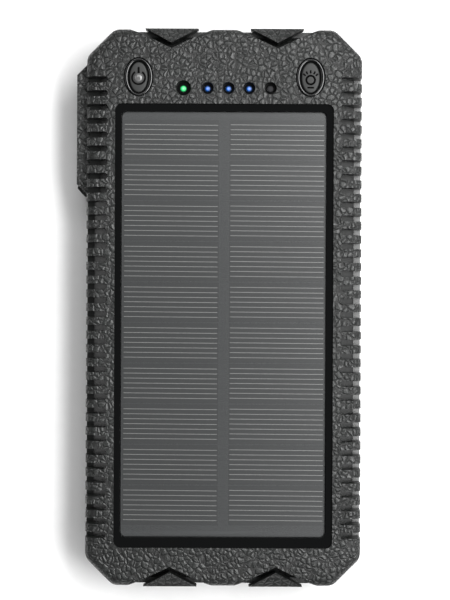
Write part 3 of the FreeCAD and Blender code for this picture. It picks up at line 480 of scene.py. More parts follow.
FINISHES = {
    "grained_rubber": (grained_rubber, 1.0),
    "fine_grain": (grained_rubber, 0.65),
    "groove_rubber": (groove_rubber,),
    "seal_rubber": (smooth_rubber, (0.02, 0.02, 0.02)),
    "gloss_black": (moulded_plastic, "gloss", 0.07, 0.0),
    # painted shade: near-black on the rubber walls of the light holes
    "dark_recess": (moulded_plastic, (0.002, 0.002, 0.002), 0.6, 0.01, 0.15),
    "key_plastic": (moulded_plastic, "key", 0.5, 0.012, 0.3),
    "key_gloss": (moulded_plastic, (0.10, 0.10, 0.10), 0.12, 0.004),
    # painted shade: the keys' signs are engraved, and near-black stands in for the shade inside
    # the engraving
    "symbol_ink": (moulded_plastic, (0.0015, 0.0015, 0.0015), 0.9, 0.004, 0.05),
    "black_plastic": (moulded_plastic, (0.018, 0.018, 0.019), 0.45, 0.02),
    "white_plastic": (moulded_plastic, (0.82, 0.82, 0.80), 0.2, 0.004),
    "socket_plastic": (moulded_plastic, (0.75, 0.76, 0.77), 0.4),
    "white_tape": (foam, (0.75, 0.74, 0.70)),
    "black_foam": (foam, (0.03, 0.03, 0.03)),
    "red_wire": (moulded_plastic, (0.50, 0.02, 0.02), 0.4),
    "black_wire": (moulded_plastic, (0.02, 0.02, 0.02), 0.4),
    "ferrite": (moulded_plastic, (0.09, 0.09, 0.10), 0.55, 0.03),
    "socket_steel": (sheet_steel, (0.66, 0.65, 0.62)),
    "screw_steel": (solder_metal, (0.55, 0.55, 0.56), 1.0),
    "capacitor_can": (solder_metal, (0.68, 0.68, 0.70), 0.9),
    "nickel": (sheet_steel, (0.60, 0.58, 0.53), 0.3),
    "circuit_board": (glass_epoxy,),
    "silicon": (silicon_cell,),
    "silver_ink": (solder_metal, "silver", 0.25),
    "panel_film": (matt_film,),
    "panel_back": (moulded_plastic, (0.075, 0.08, 0.085), 0.4),
    "clear_lens": (clear_plastic, (0.93, 0.95, 0.95), 0.2, 0.05),
    "dark_guide": (clear_plastic, (0.012, 0.012, 0.014), 0.92, 0.80),
    "green_light": (glowing, (0.04, 0.85, 0.24), 1.2, 1.05),
    "blue_light": (glowing, (0.005, 0.20, 0.85), 0.95, 0.72),
    "led_chip": (moulded_plastic, (0.80, 0.66, 0.20), 0.35, 0.02),
    "pouch_foil": (foil, (0.70, 0.70, 0.72)),
}
MADE = {}


def material(name):
    """The named finish, made once."""
    if name not in MADE:
        maker, *values = FINISHES[name]
        MADE[name] = maker(name, *values)
    return MADE[name]


# ---- mesh helpers

def highest(bm):
    return max(bm.faces, key=lambda item: item.calc_center_median().z)


def round_edges(bm, edges, radius, segments):
    bmesh.ops.bevel(bm, geom=list(edges), offset=radius, segments=segments, profile=0.5,
                    affect="EDGES", material=-1)


def place_at(bm, x, y, degrees=0.0):
    """Turn a tool about the vertical through the middle, then move it to x, y."""
    bmesh.ops.rotate(bm, verts=bm.verts, cent=(0, 0, 0),
                     matrix=Matrix.Rotation(math.radians(degrees), 3, "Z"))
    bmesh.ops.translate(bm, verts=bm.verts, vec=(x, y, 0))
    return bm


def flat_face(bm, corners, level):
    """One face through the corners, at a height."""
    return bm.faces.new([bm.verts.new((x, y, level)) for x, y in corners])


def upright_face(bm, outline, y=0.0):
    """One face in an XZ plane through the outline's points."""
    return bm.faces.new([bm.verts.new((x, y, z)) for x, z in outline])


def round_face(bm, face, radius, segments=6):
    """Round every corner of a flat face and return the face."""
    if radius > 0:
        bmesh.ops.bevel(bm, geom=list(face.verts), offset=radius, segments=segments,
                        profile=0.5, affect="VERTICES", offset_type="OFFSET", material=-1)
    bm.faces.ensure_lookup_table()
    return max(bm.faces, key=lambda item: item.calc_area())


def extrude(bm, face, move, keep=True):
    """Extrude a face along a vector; the first face stays as the end, unless keep is off."""
    grown = bmesh.ops.extrude_face_region(bm, geom=[face], use_keep_orig=keep)
    if not keep:
        bmesh.ops.delete(bm, geom=[face], context="FACES_ONLY")
    moved = [item for item in grown["geom"] if isinstance(item, bmesh.types.BMVert)]
    bmesh.ops.translate(bm, verts=moved, vec=move)
    bmesh.ops.recalc_face_normals(bm, faces=bm.faces)


def prism(corners, low, high, radius=0.0, segments=6):
    """Upright prism with rounded corners."""
    bm = bmesh.new()
    face = round_face(bm, flat_face(bm, corners, low), radius, segments)
    extrude(bm, face, UP * (high - low))
    return bm


def box_corners(x0, x1, y0, y1):
    return [(x0, y0), (x1, y0), (x1, y1), (x0, y1)]


def octagon(width, length, corner):
    """Corners of a rectangle with 45 degree cuts, anticlockwise."""
    x, y, c = width / 2, length / 2, corner
    return [(x, -y + c), (x, y - c), (x - c, y), (-x + c, y),
            (-x, y - c), (-x, -y + c), (-x + c, -y), (x - c, -y)]


def ellipse_prism(x, y, width, length, low, high, segments=48):
    bm = bmesh.new()
    ring = bmesh.ops.create_circle(bm, cap_ends=True, segments=segments, radius=0.5)
    bmesh.ops.scale(bm, verts=ring["verts"], vec=(width, length, 1))
    bmesh.ops.translate(bm, verts=ring["verts"], vec=(x, y, low))
    bm.faces.ensure_lookup_table()
    extrude(bm, bm.faces[0], UP * (high - low))
    return bm


def cone(x, y, low_radius, high_radius, low, high, segments=32):
    bm = bmesh.new()
    bmesh.ops.create_cone(bm, cap_ends=True, segments=segments, radius1=low_radius,
                          radius2=high_radius, depth=high - low)
    bmesh.ops.translate(bm, verts=bm.verts, vec=(x, y, (low + high) / 2))
    return bm


def merge(solids):
    """Several bmeshes as one."""
    whole = bmesh.new()
    for bm in solids:
        mesh = bpy.data.meshes.new("part")
        bm.to_mesh(mesh)
        bm.free()
        whole.from_mesh(mesh)
        bpy.data.meshes.remove(mesh)
    return whole


def temporary(bm, name="tool"):
    mesh = bpy.data.meshes.new(name)
    bm.to_mesh(mesh)
    bm.free()
    obj = bpy.data.objects.new(name, mesh)
    bpy.context.scene.collection.objects.link(obj)
    return obj


def combine(base, tools, operation="DIFFERENCE", overlapping=False):
    """Boolean of a bmesh with a list of bmeshes; takes them all and returns a new one."""
    target, tool = temporary(base, "base"), temporary(merge(tools))
    modifier = target.modifiers.new("combine", "BOOLEAN")
    modifier.operation = operation
    modifier.solver = "EXACT"
    modifier.use_self = overlapping
    modifier.object = tool
    depsgraph = bpy.context.evaluated_depsgraph_get()
    result = bpy.data.meshes.new_from_object(target.evaluated_get(depsgraph))
    if not result.polygons:
        raise RuntimeError(f"{operation} left nothing")
    bm = bmesh.new()
    bm.from_mesh(result)
    for obj in (target, tool):
        mesh = obj.data
        bpy.data.objects.remove(obj)
        bpy.data.meshes.remove(mesh)
    bpy.data.meshes.remove(result)
    bmesh.ops.remove_doubles(bm, verts=bm.verts, dist=1e-4)
    bmesh.ops.dissolve_limit(bm, angle_limit=math.radians(0.5), verts=bm.verts,
                             edges=bm.edges)
    return bm


def cut_below(bm, point, normal):
    """Slice a solid by a plane and keep the side that the normal points to."""
    geometry = list(bm.verts) + list(bm.edges) + list(bm.faces)
    cut = bmesh.ops.bisect_plane(bm, geom=geometry, plane_co=point, plane_no=normal,
                                 clear_inner=True)
    rim = [item for item in cut["geom_cut"] if isinstance(item, bmesh.types.BMEdge)]
    bmesh.ops.holes_fill(bm, edges=rim)
    bmesh.ops.recalc_face_normals(bm, faces=bm.faces)
    return bm


def piece(name, bm, body, finish, nodes=(), bevel=0.0, segments=3,
          smooth_angle=40, in_metres=False):
    """Turn a bmesh in millimetres into a finished piece that rides on a body, if one is named."""
    mesh = bpy.data.meshes.new(name)
    bm.to_mesh(mesh)
    bm.free()
    if not in_metres:
        mesh.transform(Matrix.Scale(MM, 4))
    obj = bpy.data.objects.new(name, mesh)
    bpy.context.scene.collection.objects.link(obj)
    for item in (finish if isinstance(finish, (list, tuple)) else [finish]):
        mesh.materials.append(material(item))
    if bevel:
        rounding = obj.modifiers.new("moulded edges", "BEVEL")
        rounding.width = bevel * MM
        rounding.segments = segments
        rounding.limit_method = "ANGLE"
        rounding.angle_limit = math.radians(28)
        rounding.use_clamp_overlap = True
        rounding.harden_normals = True
    mesh.shade_smooth()
    mesh.set_sharp_from_angle(angle=math.radians(smooth_angle))
    if body:
        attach(obj, body)
    if nodes:
        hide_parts(*nodes)
    return obj


def refined(node, name, body, finish, bevel, segments=2):
    """A CAD node's own shape with merged faces and rounded edges, in its place."""
    bm = bmesh.new()
    bm.from_mesh(frame["nodes"][node].data)
    bmesh.ops.remove_doubles(bm, verts=bm.verts, dist=1e-6)
    bmesh.ops.dissolve_limit(bm, angle_limit=math.radians(0.5), verts=bm.verts,
                             edges=bm.edges)
    return piece(name, bm, body, finish, [node], bevel, segments, in_metres=True)


# ---- rubber half-shells

def shell_blank():
    """Cut-cornered block with a rounded shoulder and a set-back middle band.

    Half-shells are built upwards from the middle plane, as heights above it.
    """
    shell = settings("shell")
    height = SHELL.z
    bm = bmesh.new()
    corners = octagon(SHELL.x, SHELL.y, shell.corner)
    turn = shell.corner_round * math.tan(math.radians(22.5))
    face = round_face(bm, flat_face(bm, corners, shell.band_half), turn, 8)
    extrude(bm, face, UP * (height - shell.band_half))
    round_edges(bm, highest(bm).edges, shell.shoulder, 7)
    bottom = min(bm.faces, key=lambda item: item.calc_center_median().z)
    bmesh.ops.inset_region(bm, faces=[bottom], thickness=shell.band_inset,
                           use_even_offset=True)
    extrude(bm, bottom, -UP * shell.band_half, keep=False)
    return bm


def groove_cutter(side, y, floor):
    """Tool for one grip groove: it leans in towards the face and ends on a flat ledge."""
    shell = settings("shell")
    height = SHELL.z
    outer = SHELL.x / 2
    inner = outer - shell.groove_reach
    draft = 0.3
    ledge_rise, ledge_fall = 0.3, 0.2
    fall = height - shell.groove_step - shell.ledge_height
    lean = (shell.groove_reach - shell.ledge - draft) / fall
    foot = outer - shell.ledge - lean * (floor - shell.ledge_height)
    outline = [(inner, height + 1), (inner, height),
               (inner + draft, height - shell.groove_step),
               (foot, floor + ledge_rise), (outer + PAST, floor - ledge_fall),
               (outer + PAST, height + 1)]
    bm = bmesh.new()
    half = shell.groove_width / 2
    face = upright_face(bm, [(side * x, z) for x, z in outline], y - half)
    extrude(bm, face, Vector((0, 2 * half, 0)))
    upright = [edge for edge in bm.edges if abs(edge.verts[0].co.y - edge.verts[1].co.y) < 1e-4
               and max(abs(v.co.x) for v in edge.verts) < inner + draft + 0.05]
    round_edges(bm, upright, 0.7, 5)
    return bm


def first_groove():
    """Distance of the first and last grooves from the middle of the shell."""
    shell = settings("shell")
    return (shell.groove_count - 1) / 2 * shell.groove_pitch


def groove_cutters():
    """Tools for both rows of grooves; some stop above the port cover."""
    shell = settings("shell")
    floor_at_cover = COVER_HIGH.z - MIDDLE + COVER_ROOM
    tools = []
    for side in (-1, 1):
        for index in range(shell.groove_count):
            short = side < 0 and index < shell.covered_grooves
            floor = floor_at_cover if short else shell.ledge_height
            y = first_groove() - index * shell.groove_pitch
            tools.append(groove_cutter(side, y, floor))
    return tools


def chevron_places():
    """Every chevron's end (-1 or 1) and its distance from the middle line."""
    shift = settings("chevron").shift
    return [(end, side * shift) for end in (-1, 1) for side in (-1, 1)]


def triangle(x, end, tip, base, half):
    """Corners of a triangle that points inward from an end of the shell."""
    return [(x - half, end * base), (x, end * tip), (x + half, end * base)]


def slope_normal(end, run, fall):
    """Upward normal of a slope that falls outward at an end of the shell."""
    return Vector((0, end * fall, run)).normalized()


def channel_cutters():
    """Tools for the four V channels: each floor slopes out to a flat ledge."""
    shell, chevron = settings("shell"), settings("chevron")
    height, edge = SHELL.z, SHELL.y / 2
    tip = edge - chevron.depth - chevron.channel
    base = edge + PAST
    half = chevron.half / chevron.depth * (base - tip)
    run = edge - chevron.ledge - tip
    fall = height - chevron.lip - shell.ledge_height
    tools = []
    for end, x in chevron_places():
        channel = prism(triangle(x, end, tip, base, half), shell.ledge_height, height + 1)
        point = Vector((x, end * tip, height - chevron.lip))
        tools.append(cut_below(channel, point, slope_normal(end, run, fall)))
    return tools


def tab_solids():
    """The four tabs inside the channels: each top falls towards the end of the shell."""
    shell, chevron = settings("shell"), settings("chevron")
    height, base = SHELL.z, SHELL.y / 2 + chevron.tab_proud
    tip = base - chevron.tab_depth
    solids = []
    for end, x in chevron_places():
        corners = triangle(x, end, tip, base, chevron.half)
        tab = prism(corners, shell.ledge_height - 1, height + 1)
        point = Vector((x, end * tip, height - TAB_POINT_DROP))
        normal = slope_normal(end, chevron.tab_depth, chevron.tab_drop)
        solids.append(cut_below(tab, point, -normal))
    return solids


def case_cutter():
    """Tools for the space that the case half fills: straight at first, then sloping in."""
    shell = settings("shell")
    outline = octagon(CASE.x, CASE.y, CASE_CORNER)
    skin_top = SHELL.z - FACE_SKIN
    upper = prism(outline, shell.band_half, skin_top)
    for vertex in upper.verts:
        if vertex.co.z > skin_top - 0.01:
            vertex.co.x -= math.copysign(CASE_SLOPE, vertex.co.x)
            vertex.co.y -= math.copysign(CASE_SLOPE, vertex.co.y)
    return [upper, prism(outline, -1.0, shell.band_half + 0.001)]


def cover_cutters():
    """Tools for the port cover's notch and for the window behind it."""
    reach = COVER_HIGH.z - MIDDLE + COVER_ROOM
    side = -SHELL.x / 2
    end, start, half, depth = WINDOW
    notch = prism(box_corners(side - 3, side + NOTCH_DEPTH, COVER_LOW.y - 0.1,
                              COVER_HIGH.y + 0.3), -1, reach)
    window = prism(box_corners(side - 3, side + depth, end, start), -1, half)
    return [notch, window]


def face_holes():
    """Tools for the front's openings: the panel, the key collars and the light holes."""
    top = SHELL.z + 1
    foot = SHELL.z - FACE_HOLE_DEPTH
    left, right, near, far = PANEL_OPENING
    y = centre("solar_cover_film").y
    tools = [prism(box_corners(left, right, y + near, y + far), foot, top, 2.0, 8)]
    for key in ("power_key", "lamp_key"):
        place = centre(key)
        tools.append(ellipse_prism(place.x, place.y, *COLLAR, foot, top))
    for place, radius in light_places():
        tools.append(cone(place.x, place.y, radius - 0.45, radius + 0.25, foot, top))
    return tools


def rear_holes():
    """Tools for the rear's openings: the lamp and the screw heads."""
    top = SHELL.z + 1
    foot = SHELL.z - FACE_HOLE_DEPTH
    lens, half = centre("lamp_lens"), extent("lamp_lens") / 2 + Vector((0.1, 0.1, 0))
    tools = [prism(box_corners(-half.x, half.x, lens.y - half.y, lens.y + half.y), foot, top,
                   half.y - 0.01, 16)]
    low, high = span("screw_plugs")
    far_x, near_x, inset, radius = SCREWS
    for side in (-1, 1):
        for x, y in ((far_x, high.y - inset), (near_x, low.y + inset)):
            tools.append(cone(side * x, y, radius, radius, foot, top))
    return tools


def light_places():
    """Centre and hole radius of each indicator light, from the left."""
    first, last = GUIDES_LOW.x + 1, GUIDES_HIGH.x - 1
    y = (GUIDES_LOW.y + GUIDES_HIGH.y) / 2
    return [(Vector((x, y, GUIDES_HIGH.z)), GREEN_HOLE if x == first else BLUE_HOLE)
            for x in (first, *MIDDLE_LIGHTS, last)]


def place_shell(bm, facing):
    """Move a half-shell from heights above the middle plane to its place."""
    if facing < 0:
        bmesh.ops.scale(bm, verts=bm.verts, vec=(1, 1, -1))
        bmesh.ops.reverse_faces(bm, faces=bm.faces)
    bmesh.ops.translate(bm, verts=bm.verts, vec=UP * MIDDLE)
    return bm


def paint_grooves(obj, facing):
    """Give the groove walls and the ledges the groove finish with its painted shade, and the
    walls of the light holes a near-black painted shade.
    """
    shell = settings("shell")
    inner = SHELL.x / 2 - shell.groove_reach
    half = shell.groove_width / 2 + 0.02

    def in_groove(point):
        offset = (first_groove() - point.y) % shell.groove_pitch
        offset = min(offset, shell.groove_pitch - offset)
        height = (point.z - MIDDLE) * facing
        return (abs(point.x) > inner - 0.05 and offset < half
                and height > shell.ledge_height - 0.02)

    chevron = settings("chevron")
    edge = SHELL.y / 2
    channel_tip = edge - chevron.depth - chevron.channel
    tab_tip = edge + chevron.tab_proud - chevron.tab_depth

    def in_channel(point):
        across = abs(abs(point.x) - chevron.shift)
        in_v = across < chevron.half / chevron.depth * (abs(point.y) - channel_tip) + 0.05
        in_tab = across < chevron.half / chevron.tab_depth * (abs(point.y) - tab_tip) - 0.05
        return in_v and not in_tab and (point.z - MIDDLE) * facing > shell.ledge_height - 0.1

    for face in obj.data.polygons:
        corners = [obj.data.vertices[index].co / MM for index in face.vertices]
        if all(in_groove(point) for point in (*corners, face.center / MM)):
            face.material_index = 1
        if in_channel(face.center / MM) and all(
                abs(point.y) > channel_tip - 0.1 for point in corners):
            face.material_index = 1
        # painted shade on the walls of the light holes
        if facing > 0 and any((face.center / MM - place).xy.length < hole + 0.1
                              for place, hole in light_places()):
            face.material_index = 2


def half_shell(name, node, facing, holes):
    """A half-shell with its grooves, chevrons and openings, in its place."""
    bm = combine(shell_blank(), groove_cutters())
    bm = combine(bm, channel_cutters(), overlapping=True)
    bm = combine(bm, tab_solids(), "UNION", overlapping=True)
    bm = combine(bm, cover_cutters(), overlapping=True)
    bm = combine(bm, case_cutter(), overlapping=True)
    bm = combine(bm, holes)
    # the third finish is near-black painted shade for the light holes
    finishes = ["grained_rubber", "groove_rubber", "dark_recess"][:2 if facing < 0 else 3]
    obj = piece(name, place_shell(bm, facing), "case", finishes, [node],
                bevel=settings("shell").edge_round)
    paint_grooves(obj, facing)


class POWERBANK_OT_front_shell(bpy.types.Operator):
    """Front rubber half-shell with its openings, grip grooves and end chevrons"""
    bl_idname = "power_bank.front_shell"
    bl_label = "Front shell"

    def execute(self, context):
        half_shell("front_rubber_shell", "front_bumper", 1, face_holes())
        return {"FINISHED"}


class POWERBANK_OT_rear_shell(bpy.types.Operator):
    """Rear rubber half-shell with the lamp opening and the holes over the screws"""
    bl_idname = "power_bank.rear_shell"
    bl_label = "Rear shell"

    def execute(self, context):
        half_shell("rear_rubber_shell", "rear_bumper", -1, rear_holes())
        return {"FINISHED"}


class POWERBANK_OT_port_cover(bpy.types.Operator):
    """Hinged rubber cover over the sockets, and the web that it swings on"""
    bl_idname = "power_bank.port_cover"
    bl_label = "Port cover"

    def execute(self, context):
        refined("port_cover", "socket_cover", "port_cover", "grained_rubber",
                0.45, segments=3)
        thick, long, tall = 0.5, 2.6, COVER_HIGH.z - COVER_LOW.z - 1.6
        bm = bmesh.new()
        bmesh.ops.create_cube(bm, size=1.0)
        bmesh.ops.scale(bm, verts=bm.verts, vec=(thick, long, tall))
        bmesh.ops.translate(bm, verts=bm.verts, vec=HINGE_AT + Vector((0.1, 0, 0)))
        across = [edge for edge in bm.edges
                  if abs(edge.verts[0].co.y - edge.verts[1].co.y) > 1]
        bmesh.ops.subdivide_edges(bm, edges=across, cuts=14, use_grid_fill=True)
        web = piece("hinge_web", bm, None, "fine_grain")
        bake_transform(web)
        return {"FINISHED"}


# ---- case, keys and lights

class POWERBANK_OT_case(bpy.types.Operator):
    """Glossy case halves with softened edges, and the plugs over the screw holes"""
    bl_idname = "power_bank.case"
    bl_label = "Case"

    def execute(self, context):
        refined("front_housing", "front_case", "case", "gloss_black", 0.25,
                segments=3)
        refined("rear_housing", "rear_case", "case", "gloss_black", 0.2)
        refined("screw_plugs", "screw_hole_plugs", "case", "fine_grain",
                0.3, segments=3)
        return {"FINISHED"}


def key_cap(node):
    """Slightly crowned elliptical cap on its flange and stem, in millimetres."""
    low, high = span(node)
    place = centre(node)
    cap_low = high.z - KEY_CAP_TALL
    cap = ellipse_prism(place.x, place.y, *KEY_CAP, cap_low, high.z, 64)
    round_edges(cap, highest(cap).edges, 0.5, 5)
    flange_low = cap_low - FLANGE_TALL
    flange = ellipse_prism(place.x, place.y, high.x - low.x, high.y - low.y, flange_low,
                           cap_low + 0.01, 64)
    stem = cone(place.x, place.y, STEM_RADIUS, STEM_RADIUS, low.z, flange_low + 0.01)
    return combine(cap, [flange, stem], "UNION", overlapping=True)


def flat_ring(x, y, inner, outer, low, high, start=0.0, sweep=360.0, steps=40):
    """Ring, or part of one, spun from its rectangular section; angles from +X."""
    bm = bmesh.new()
    face = upright_face(bm, [(inner, low), (outer, low), (outer, high), (inner, high)])
    place_at(bm, 0, 0, start)
    full = sweep >= 360.0
    geometry = [face] + list(face.edges) + list(face.verts)
    bmesh.ops.spin(bm, geom=geometry, cent=(0, 0, 0), axis=(0, 0, 1),
                          angle=math.radians(sweep), steps=steps, use_merge=full,
                          use_duplicate=False)
    if full:
        bmesh.ops.delete(bm, geom=[face], context="FACES_ONLY")
    bmesh.ops.remove_doubles(bm, verts=bm.verts, dist=1e-4)
    bmesh.ops.recalc_face_normals(bm, faces=bm.faces)
    return place_at(bm, x, y)


def bar(x, y, length, width, low, high, degrees):
    """Rounded bar centred at x, y and turned by an angle."""
    bm = prism(box_corners(-length / 2, length / 2, -width / 2, width / 2), low, high,
               width * 0.49, 4)
    return place_at(bm, x, y, degrees)


def collar_ring(node):
    """Rounded elliptical ring round a key, standing on the case's collar."""
    place = centre(node)
    top = FRONT_HIGH.z - 0.05
    foot, crown, steps = top - 1.6, 0.75, 12
    (inner, end_inner), (width, end_width) = COLLAR_INNER, COLLAR_WALL
    half = width / 2
    arch = [(inner + half - half * math.cos(turn), top - crown * (1 - math.sin(turn)))
            for turn in (math.pi * step / steps for step in range(steps + 1))]
    bm = bmesh.new()
    face = upright_face(bm, [(inner, foot)] + arch + [(inner + width, foot)])
    bmesh.ops.spin(bm, geom=[face] + list(face.edges) + list(face.verts), cent=(0, 0, 0),
                   axis=(0, 0, 1), angle=math.tau, steps=96, use_merge=True,
                   use_duplicate=False)
    inside = [item for item in bm.faces if len(item.verts) > 4]
    bmesh.ops.delete(bm, geom=inside, context="FACES_ONLY")
    bmesh.ops.remove_doubles(bm, verts=bm.verts, dist=1e-4)
    for vertex in bm.verts:
        radius = math.hypot(vertex.co.x, vertex.co.y)
        along = end_inner + (radius - inner) / width * end_width
        vertex.co.y *= along / radius
    bmesh.ops.recalc_face_normals(bm, faces=bm.faces)
    return place_at(bm, place.x, place.y)


def power_sign(place, low, top):
    """Open ring with a bar in its gap."""
    return [flat_ring(place.x, place.y - SIGN_SHIFT, 1.7, 2.25, low, top, 122, 296),
            bar(place.x, place.y + 2.0, 2.1, 0.65, low, top, 90)]


def lamp_sign(place, low, top):
    """Round bulb with five rays over it and a bar under it."""
    hub = Vector((place.x, place.y - 0.7))
    parts = [flat_ring(hub.x, hub.y, 1.0, 1.6, low, top)]
    for angle in (40, 62, 90, 118, 140):
        turn = math.radians(angle)
        at = hub + 2.45 * Vector((math.cos(turn), math.sin(turn)))
        parts.append(bar(at.x, at.y, 1.05, 0.5, low, top, angle))
    return parts + [bar(hub.x, hub.y - 2.3, 2.1, 0.5, low, top, 0)]


def key_sign(name, key, shapes):
    """A sign sunk into a key's face and standing a little over it, near-black as painted shade of
    an engraving.
    """
    high = span(key)[1].z
    solids = shapes(centre(key), high - SIGN_SUNK, high + SIGN_PROUD)
    piece(name, merge(solids), key, "symbol_ink", bevel=0.06)


class POWERBANK_OT_keys(bpy.types.Operator):
    """Power key with its domed centre and sign, and lamp key with its sign"""
    bl_idname = "power_bank.keys"
    bl_label = "Keys"

    def execute(self, context):
        for node, name in (("power_key", "power_key_cap"), ("lamp_key", "lamp_key_cap")):
            piece(name, key_cap(node), node, "key_plastic", [node])
            piece(node + "_collar", collar_ring(node), "case", "gloss_black",
                  smooth_angle=50)
        key_sign("power_sign", "power_key", power_sign)
        place, high = centre("power_key"), span("power_key")[1].z
        radius, flatten = 1.35, 0.42
        dome = bmesh.new()
        bmesh.ops.create_uvsphere(dome, u_segments=40, v_segments=20, radius=radius)
        bmesh.ops.scale(dome, verts=dome.verts, vec=(1, 1, flatten))
        bmesh.ops.translate(dome, verts=dome.verts,
                            vec=(place.x, place.y - SIGN_SHIFT, high - 0.1))
        piece("power_key_dome", dome, "power_key", "key_gloss")
        key_sign("lamp_sign", "lamp_key", lamp_sign)
        return {"FINISHED"}


class POWERBANK_OT_lights(bpy.types.Operator):
    """Five light guides in the face; one glows green, three blue and one is dark"""
    bl_idname = "power_bank.lights"
    bl_label = "Lights"

    def execute(self, context):
        guides = (("green", "green_light"), ("first_blue", "blue_light"),
                  ("second_blue", "blue_light"), ("third_blue", "blue_light"),
                  ("unlit", "dark_guide"))
        nodes = ["light_guides"]
        for (place, _hole), (name, finish) in zip(light_places(), guides):
            bm = cone(place.x, place.y, GUIDE_RADIUS, GUIDE_RADIUS, GUIDES_LOW.z,
                      GUIDES_HIGH.z)
            round_edges(bm, highest(bm).edges, 0.4, 4)
            piece(name + "_light_guide", bm, "case", finish, nodes)
            nodes = []
        return {"FINISHED"}


# ---- solar panel

class POWERBANK_OT_panel(bpy.types.Operator):
    """Solar cells with their printed silver lines under the matt film"""
    bl_idname = "power_bank.panel"
    bl_label = "Solar panel"

    def execute(self, context):
        panel = settings("panel")
        low, high = span("solar_cells")
        pitch = (high.y - low.y - CELL_LONG) / (panel.rows - 1)
        half_long = (panel.finger_end - panel.finger_start) / 2
        half_wide = panel.finger_width / 2
        lines = []
        for side in (-1, 1):
            x = side * (panel.finger_start + panel.finger_end) / 2
            for row in range(panel.rows):
                row_y = low.y + CELL_LONG / 2 + row * pitch
                for line in range(panel.fingers):
                    y = row_y + (line - (panel.fingers - 1) / 2) * panel.finger_pitch
                    strip = prism(box_corners(-half_long, half_long, -half_wide, half_wide),
                                  high.z - 0.02, high.z + 0.03)
                    lines.append(place_at(strip, x, y, math.degrees(panel.tilt)))
        piece("cell_finger_lines", merge(lines), "case", "silver_ink")
        return {"FINISHED"}


# ---- rear lamp

class POWERBANK_OT_lamp(bpy.types.Operator):
    """Rear lamp: clear lens with a rounded rim over two reflector cups"""
    bl_idname = "power_bank.lamp"
    bl_label = "Lamp"

    def execute(self, context):
        refined("lamp_lens", "lamp_window", "case", "clear_lens", 0.25,
                segments=3)
        refined("lamp_reflector", "lamp_reflector_cups", "case", "white_plastic",
                0.15)
        return {"FINISHED"}


# ---- carried-over pieces

CARRIED = {
    "seal_rubber": ("housing_seal", "lamp_seal"),
    "screw_steel": ("case_screws", "board_screws"),
    "white_tape": ("panel_tape", "cell_tape"),
    "panel_back": ("solar_board",),
    "silicon": ("solar_cells",),
    "panel_film": ("solar_cover_film",),
    "red_wire": ("solar_lead_red", "battery_lead_red", "lamp_leads"),
    "black_wire": ("solar_lead_black", "battery_lead_black"),
    "circuit_board": ("main_board", "protection_board", "lamp_board"),
    "black_plastic": ("power_switch", "lamp_switch", "power_switch_plunger",
                      "lamp_switch_plunger", "light_guide_holder", "usb_input_tongue",
                      "controller_chip", "charger_chip", "power_transistors",
                      "chip_resistors"),
    "led_chip": ("indicator_leds", "lamp_leds"),
    "socket_steel": ("usb_output_upper", "usb_output_lower", "usb_input"),
    "socket_plastic": ("usb_output_upper_tongue", "usb_output_lower_tongue"),
    "ferrite": ("power_inductor",),
    "capacitor_can": ("capacitors",),
    "pouch_foil": ("rear_battery_cell", "front_battery_cell"),
    "black_foam": ("battery_foam",),
    "nickel": ("cell_tabs",),
}


class POWERBANK_OT_finishes(bpy.types.Operator):
    """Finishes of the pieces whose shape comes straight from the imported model"""
    bl_idname = "power_bank.finishes"
    bl_label = "Finishes"

    def execute(self, context):
        for finish, nodes in CARRIED.items():
            for node in nodes:
                mesh = frame["nodes"][node].data
                mesh.materials.clear()
                mesh.materials.append(material(finish))
        return {"FINISHED"}


# ---- stage

LIGHTS = {  # place, size (m) and power (W), aimed at the middle
    "right_window": ((0.30, 0.05, 0.55), (0.7, 0.26), 7.6),
    "left_window": ((-0.70, 0.20, 0.60), (0.6, 0.3), 1.0),
    "top_panel": ((0.0, 0.42, 0.75), (0.6, 0.26), 2.7),
    "end_panel": ((0.05, -0.44, 0.75), (0.6, 0.20), 1.0),
}
WORLD_LIGHT = 0.10
FLOOR_HALF = 3.0
CAMERA_RISE, CAMERA_SHIFT, CAMERA_ROLL = 0.45, (0.0004, 0.0023), 0.25
SEEN_HEIGHT, SENSOR_HEIGHT = 0.1803, 24.0


def area_light(name, place, size, power):
    data = bpy.data.lights.new(name, "AREA")
    data.shape = "RECTANGLE"
    data.size, data.size_y = size
    data.energy = power
    obj = bpy.data.objects.new(name, data)
    obj.location = place
    obj.rotation_euler = (-Vector(place)).to_track_quat("-Z", "Y").to_euler()
    bpy.context.scene.collection.objects.link(obj)


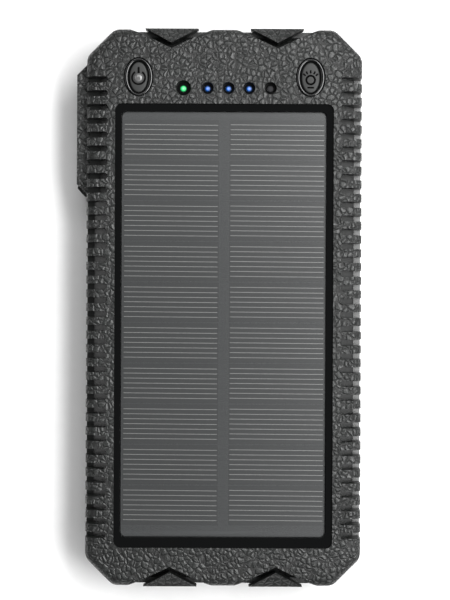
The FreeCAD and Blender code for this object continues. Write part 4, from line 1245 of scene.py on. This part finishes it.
class POWERBANK_OT_stage(bpy.types.Operator):
    """Pale floor, soft studio light and a camera straight above the panel"""
    bl_idname = "power_bank.stage"
    bl_label = "Stage"

    def execute(self, context):
        bm = bmesh.new()
        bmesh.ops.create_grid(bm, x_segments=1, y_segments=1, size=FLOOR_HALF)
        mesh = bpy.data.meshes.new("floor")
        bm.to_mesh(mesh)
        bm.free()
        floor = bpy.data.objects.new("floor", mesh)
        context.scene.collection.objects.link(floor)
        paper = Recipe("paper")
        fibre = paper.noise(300.0, 3.0)
        mesh.materials.append(paper.finish(
            Base_Color=paper.mix(fibre, (0.86, 0.86, 0.86), (0.90, 0.90, 0.90)),
            Roughness=0.9))
        world = bpy.data.worlds.new("studio")
        context.scene.world = world
        world.use_nodes = True
        background = world.node_tree.nodes["Background"]
        background.inputs["Color"].default_value = (1.0, 1.0, 1.0, 1.0)
        background.inputs["Strength"].default_value = WORLD_LIGHT
        for name, values in LIGHTS.items():
            area_light(name, *values)
        optics = bpy.data.cameras.new("camera")
        optics.sensor_fit = "VERTICAL"
        optics.sensor_height = SENSOR_HEIGHT
        optics.lens = SENSOR_HEIGHT * CAMERA_RISE / SEEN_HEIGHT
        camera = bpy.data.objects.new("camera", optics)
        context.scene.collection.objects.link(camera)
        camera.location = (*CAMERA_SHIFT, SHELL.z * 2 * MM + CAMERA_RISE)
        camera.rotation_euler = (0.0, 0.0, math.radians(CAMERA_ROLL))
        context.scene.camera = camera
        context.scene.view_settings.view_transform = "Standard"
        return {"FINISHED"}


# ---- panel and registration

OPERATORS = (
    POWERBANK_OT_front_shell, POWERBANK_OT_rear_shell, POWERBANK_OT_port_cover,
    POWERBANK_OT_case, POWERBANK_OT_keys, POWERBANK_OT_lights, POWERBANK_OT_panel,
    POWERBANK_OT_lamp, POWERBANK_OT_finishes, POWERBANK_OT_stage,
)
GROUPS = {"shell": ShellSettings, "chevron": ChevronSettings, "panel": PanelSettings,
          "finish": FinishSettings}


class POWERBANK_PT_sidebar(bpy.types.Panel):
    """Lists the steps that build the power bank and its settings"""
    bl_idname = "POWERBANK_PT_sidebar"
    bl_label = "Power bank"
    bl_space_type = "VIEW_3D"
    bl_region_type = "UI"
    bl_category = "Power bank"

    def draw(self, context):
        for operator in OPERATORS:
            self.layout.operator(operator.bl_idname)
        for name, group in GROUPS.items():
            box = self.layout.box()
            box.label(text=name.capitalize())
            for prop in group.__annotations__:
                box.prop(getattr(context.scene, "power_bank_" + name), prop)


def register():
    for cls in (*GROUPS.values(), *OPERATORS, POWERBANK_PT_sidebar):
        bpy.utils.register_class(cls)
    for name, group in GROUPS.items():
        setattr(bpy.types.Scene, "power_bank_" + name, PointerProperty(type=group))


def unregister():
    for name in GROUPS:
        delattr(bpy.types.Scene, "power_bank_" + name)
    for cls in reversed((*GROUPS.values(), *OPERATORS, POWERBANK_PT_sidebar)):
        bpy.utils.unregister_class(cls)


def main():
    register()
    for operator in OPERATORS:
        area, step = operator.bl_idname.split(".")
        getattr(getattr(bpy.ops, area), step)()


if __name__ == "__main__":
    main()
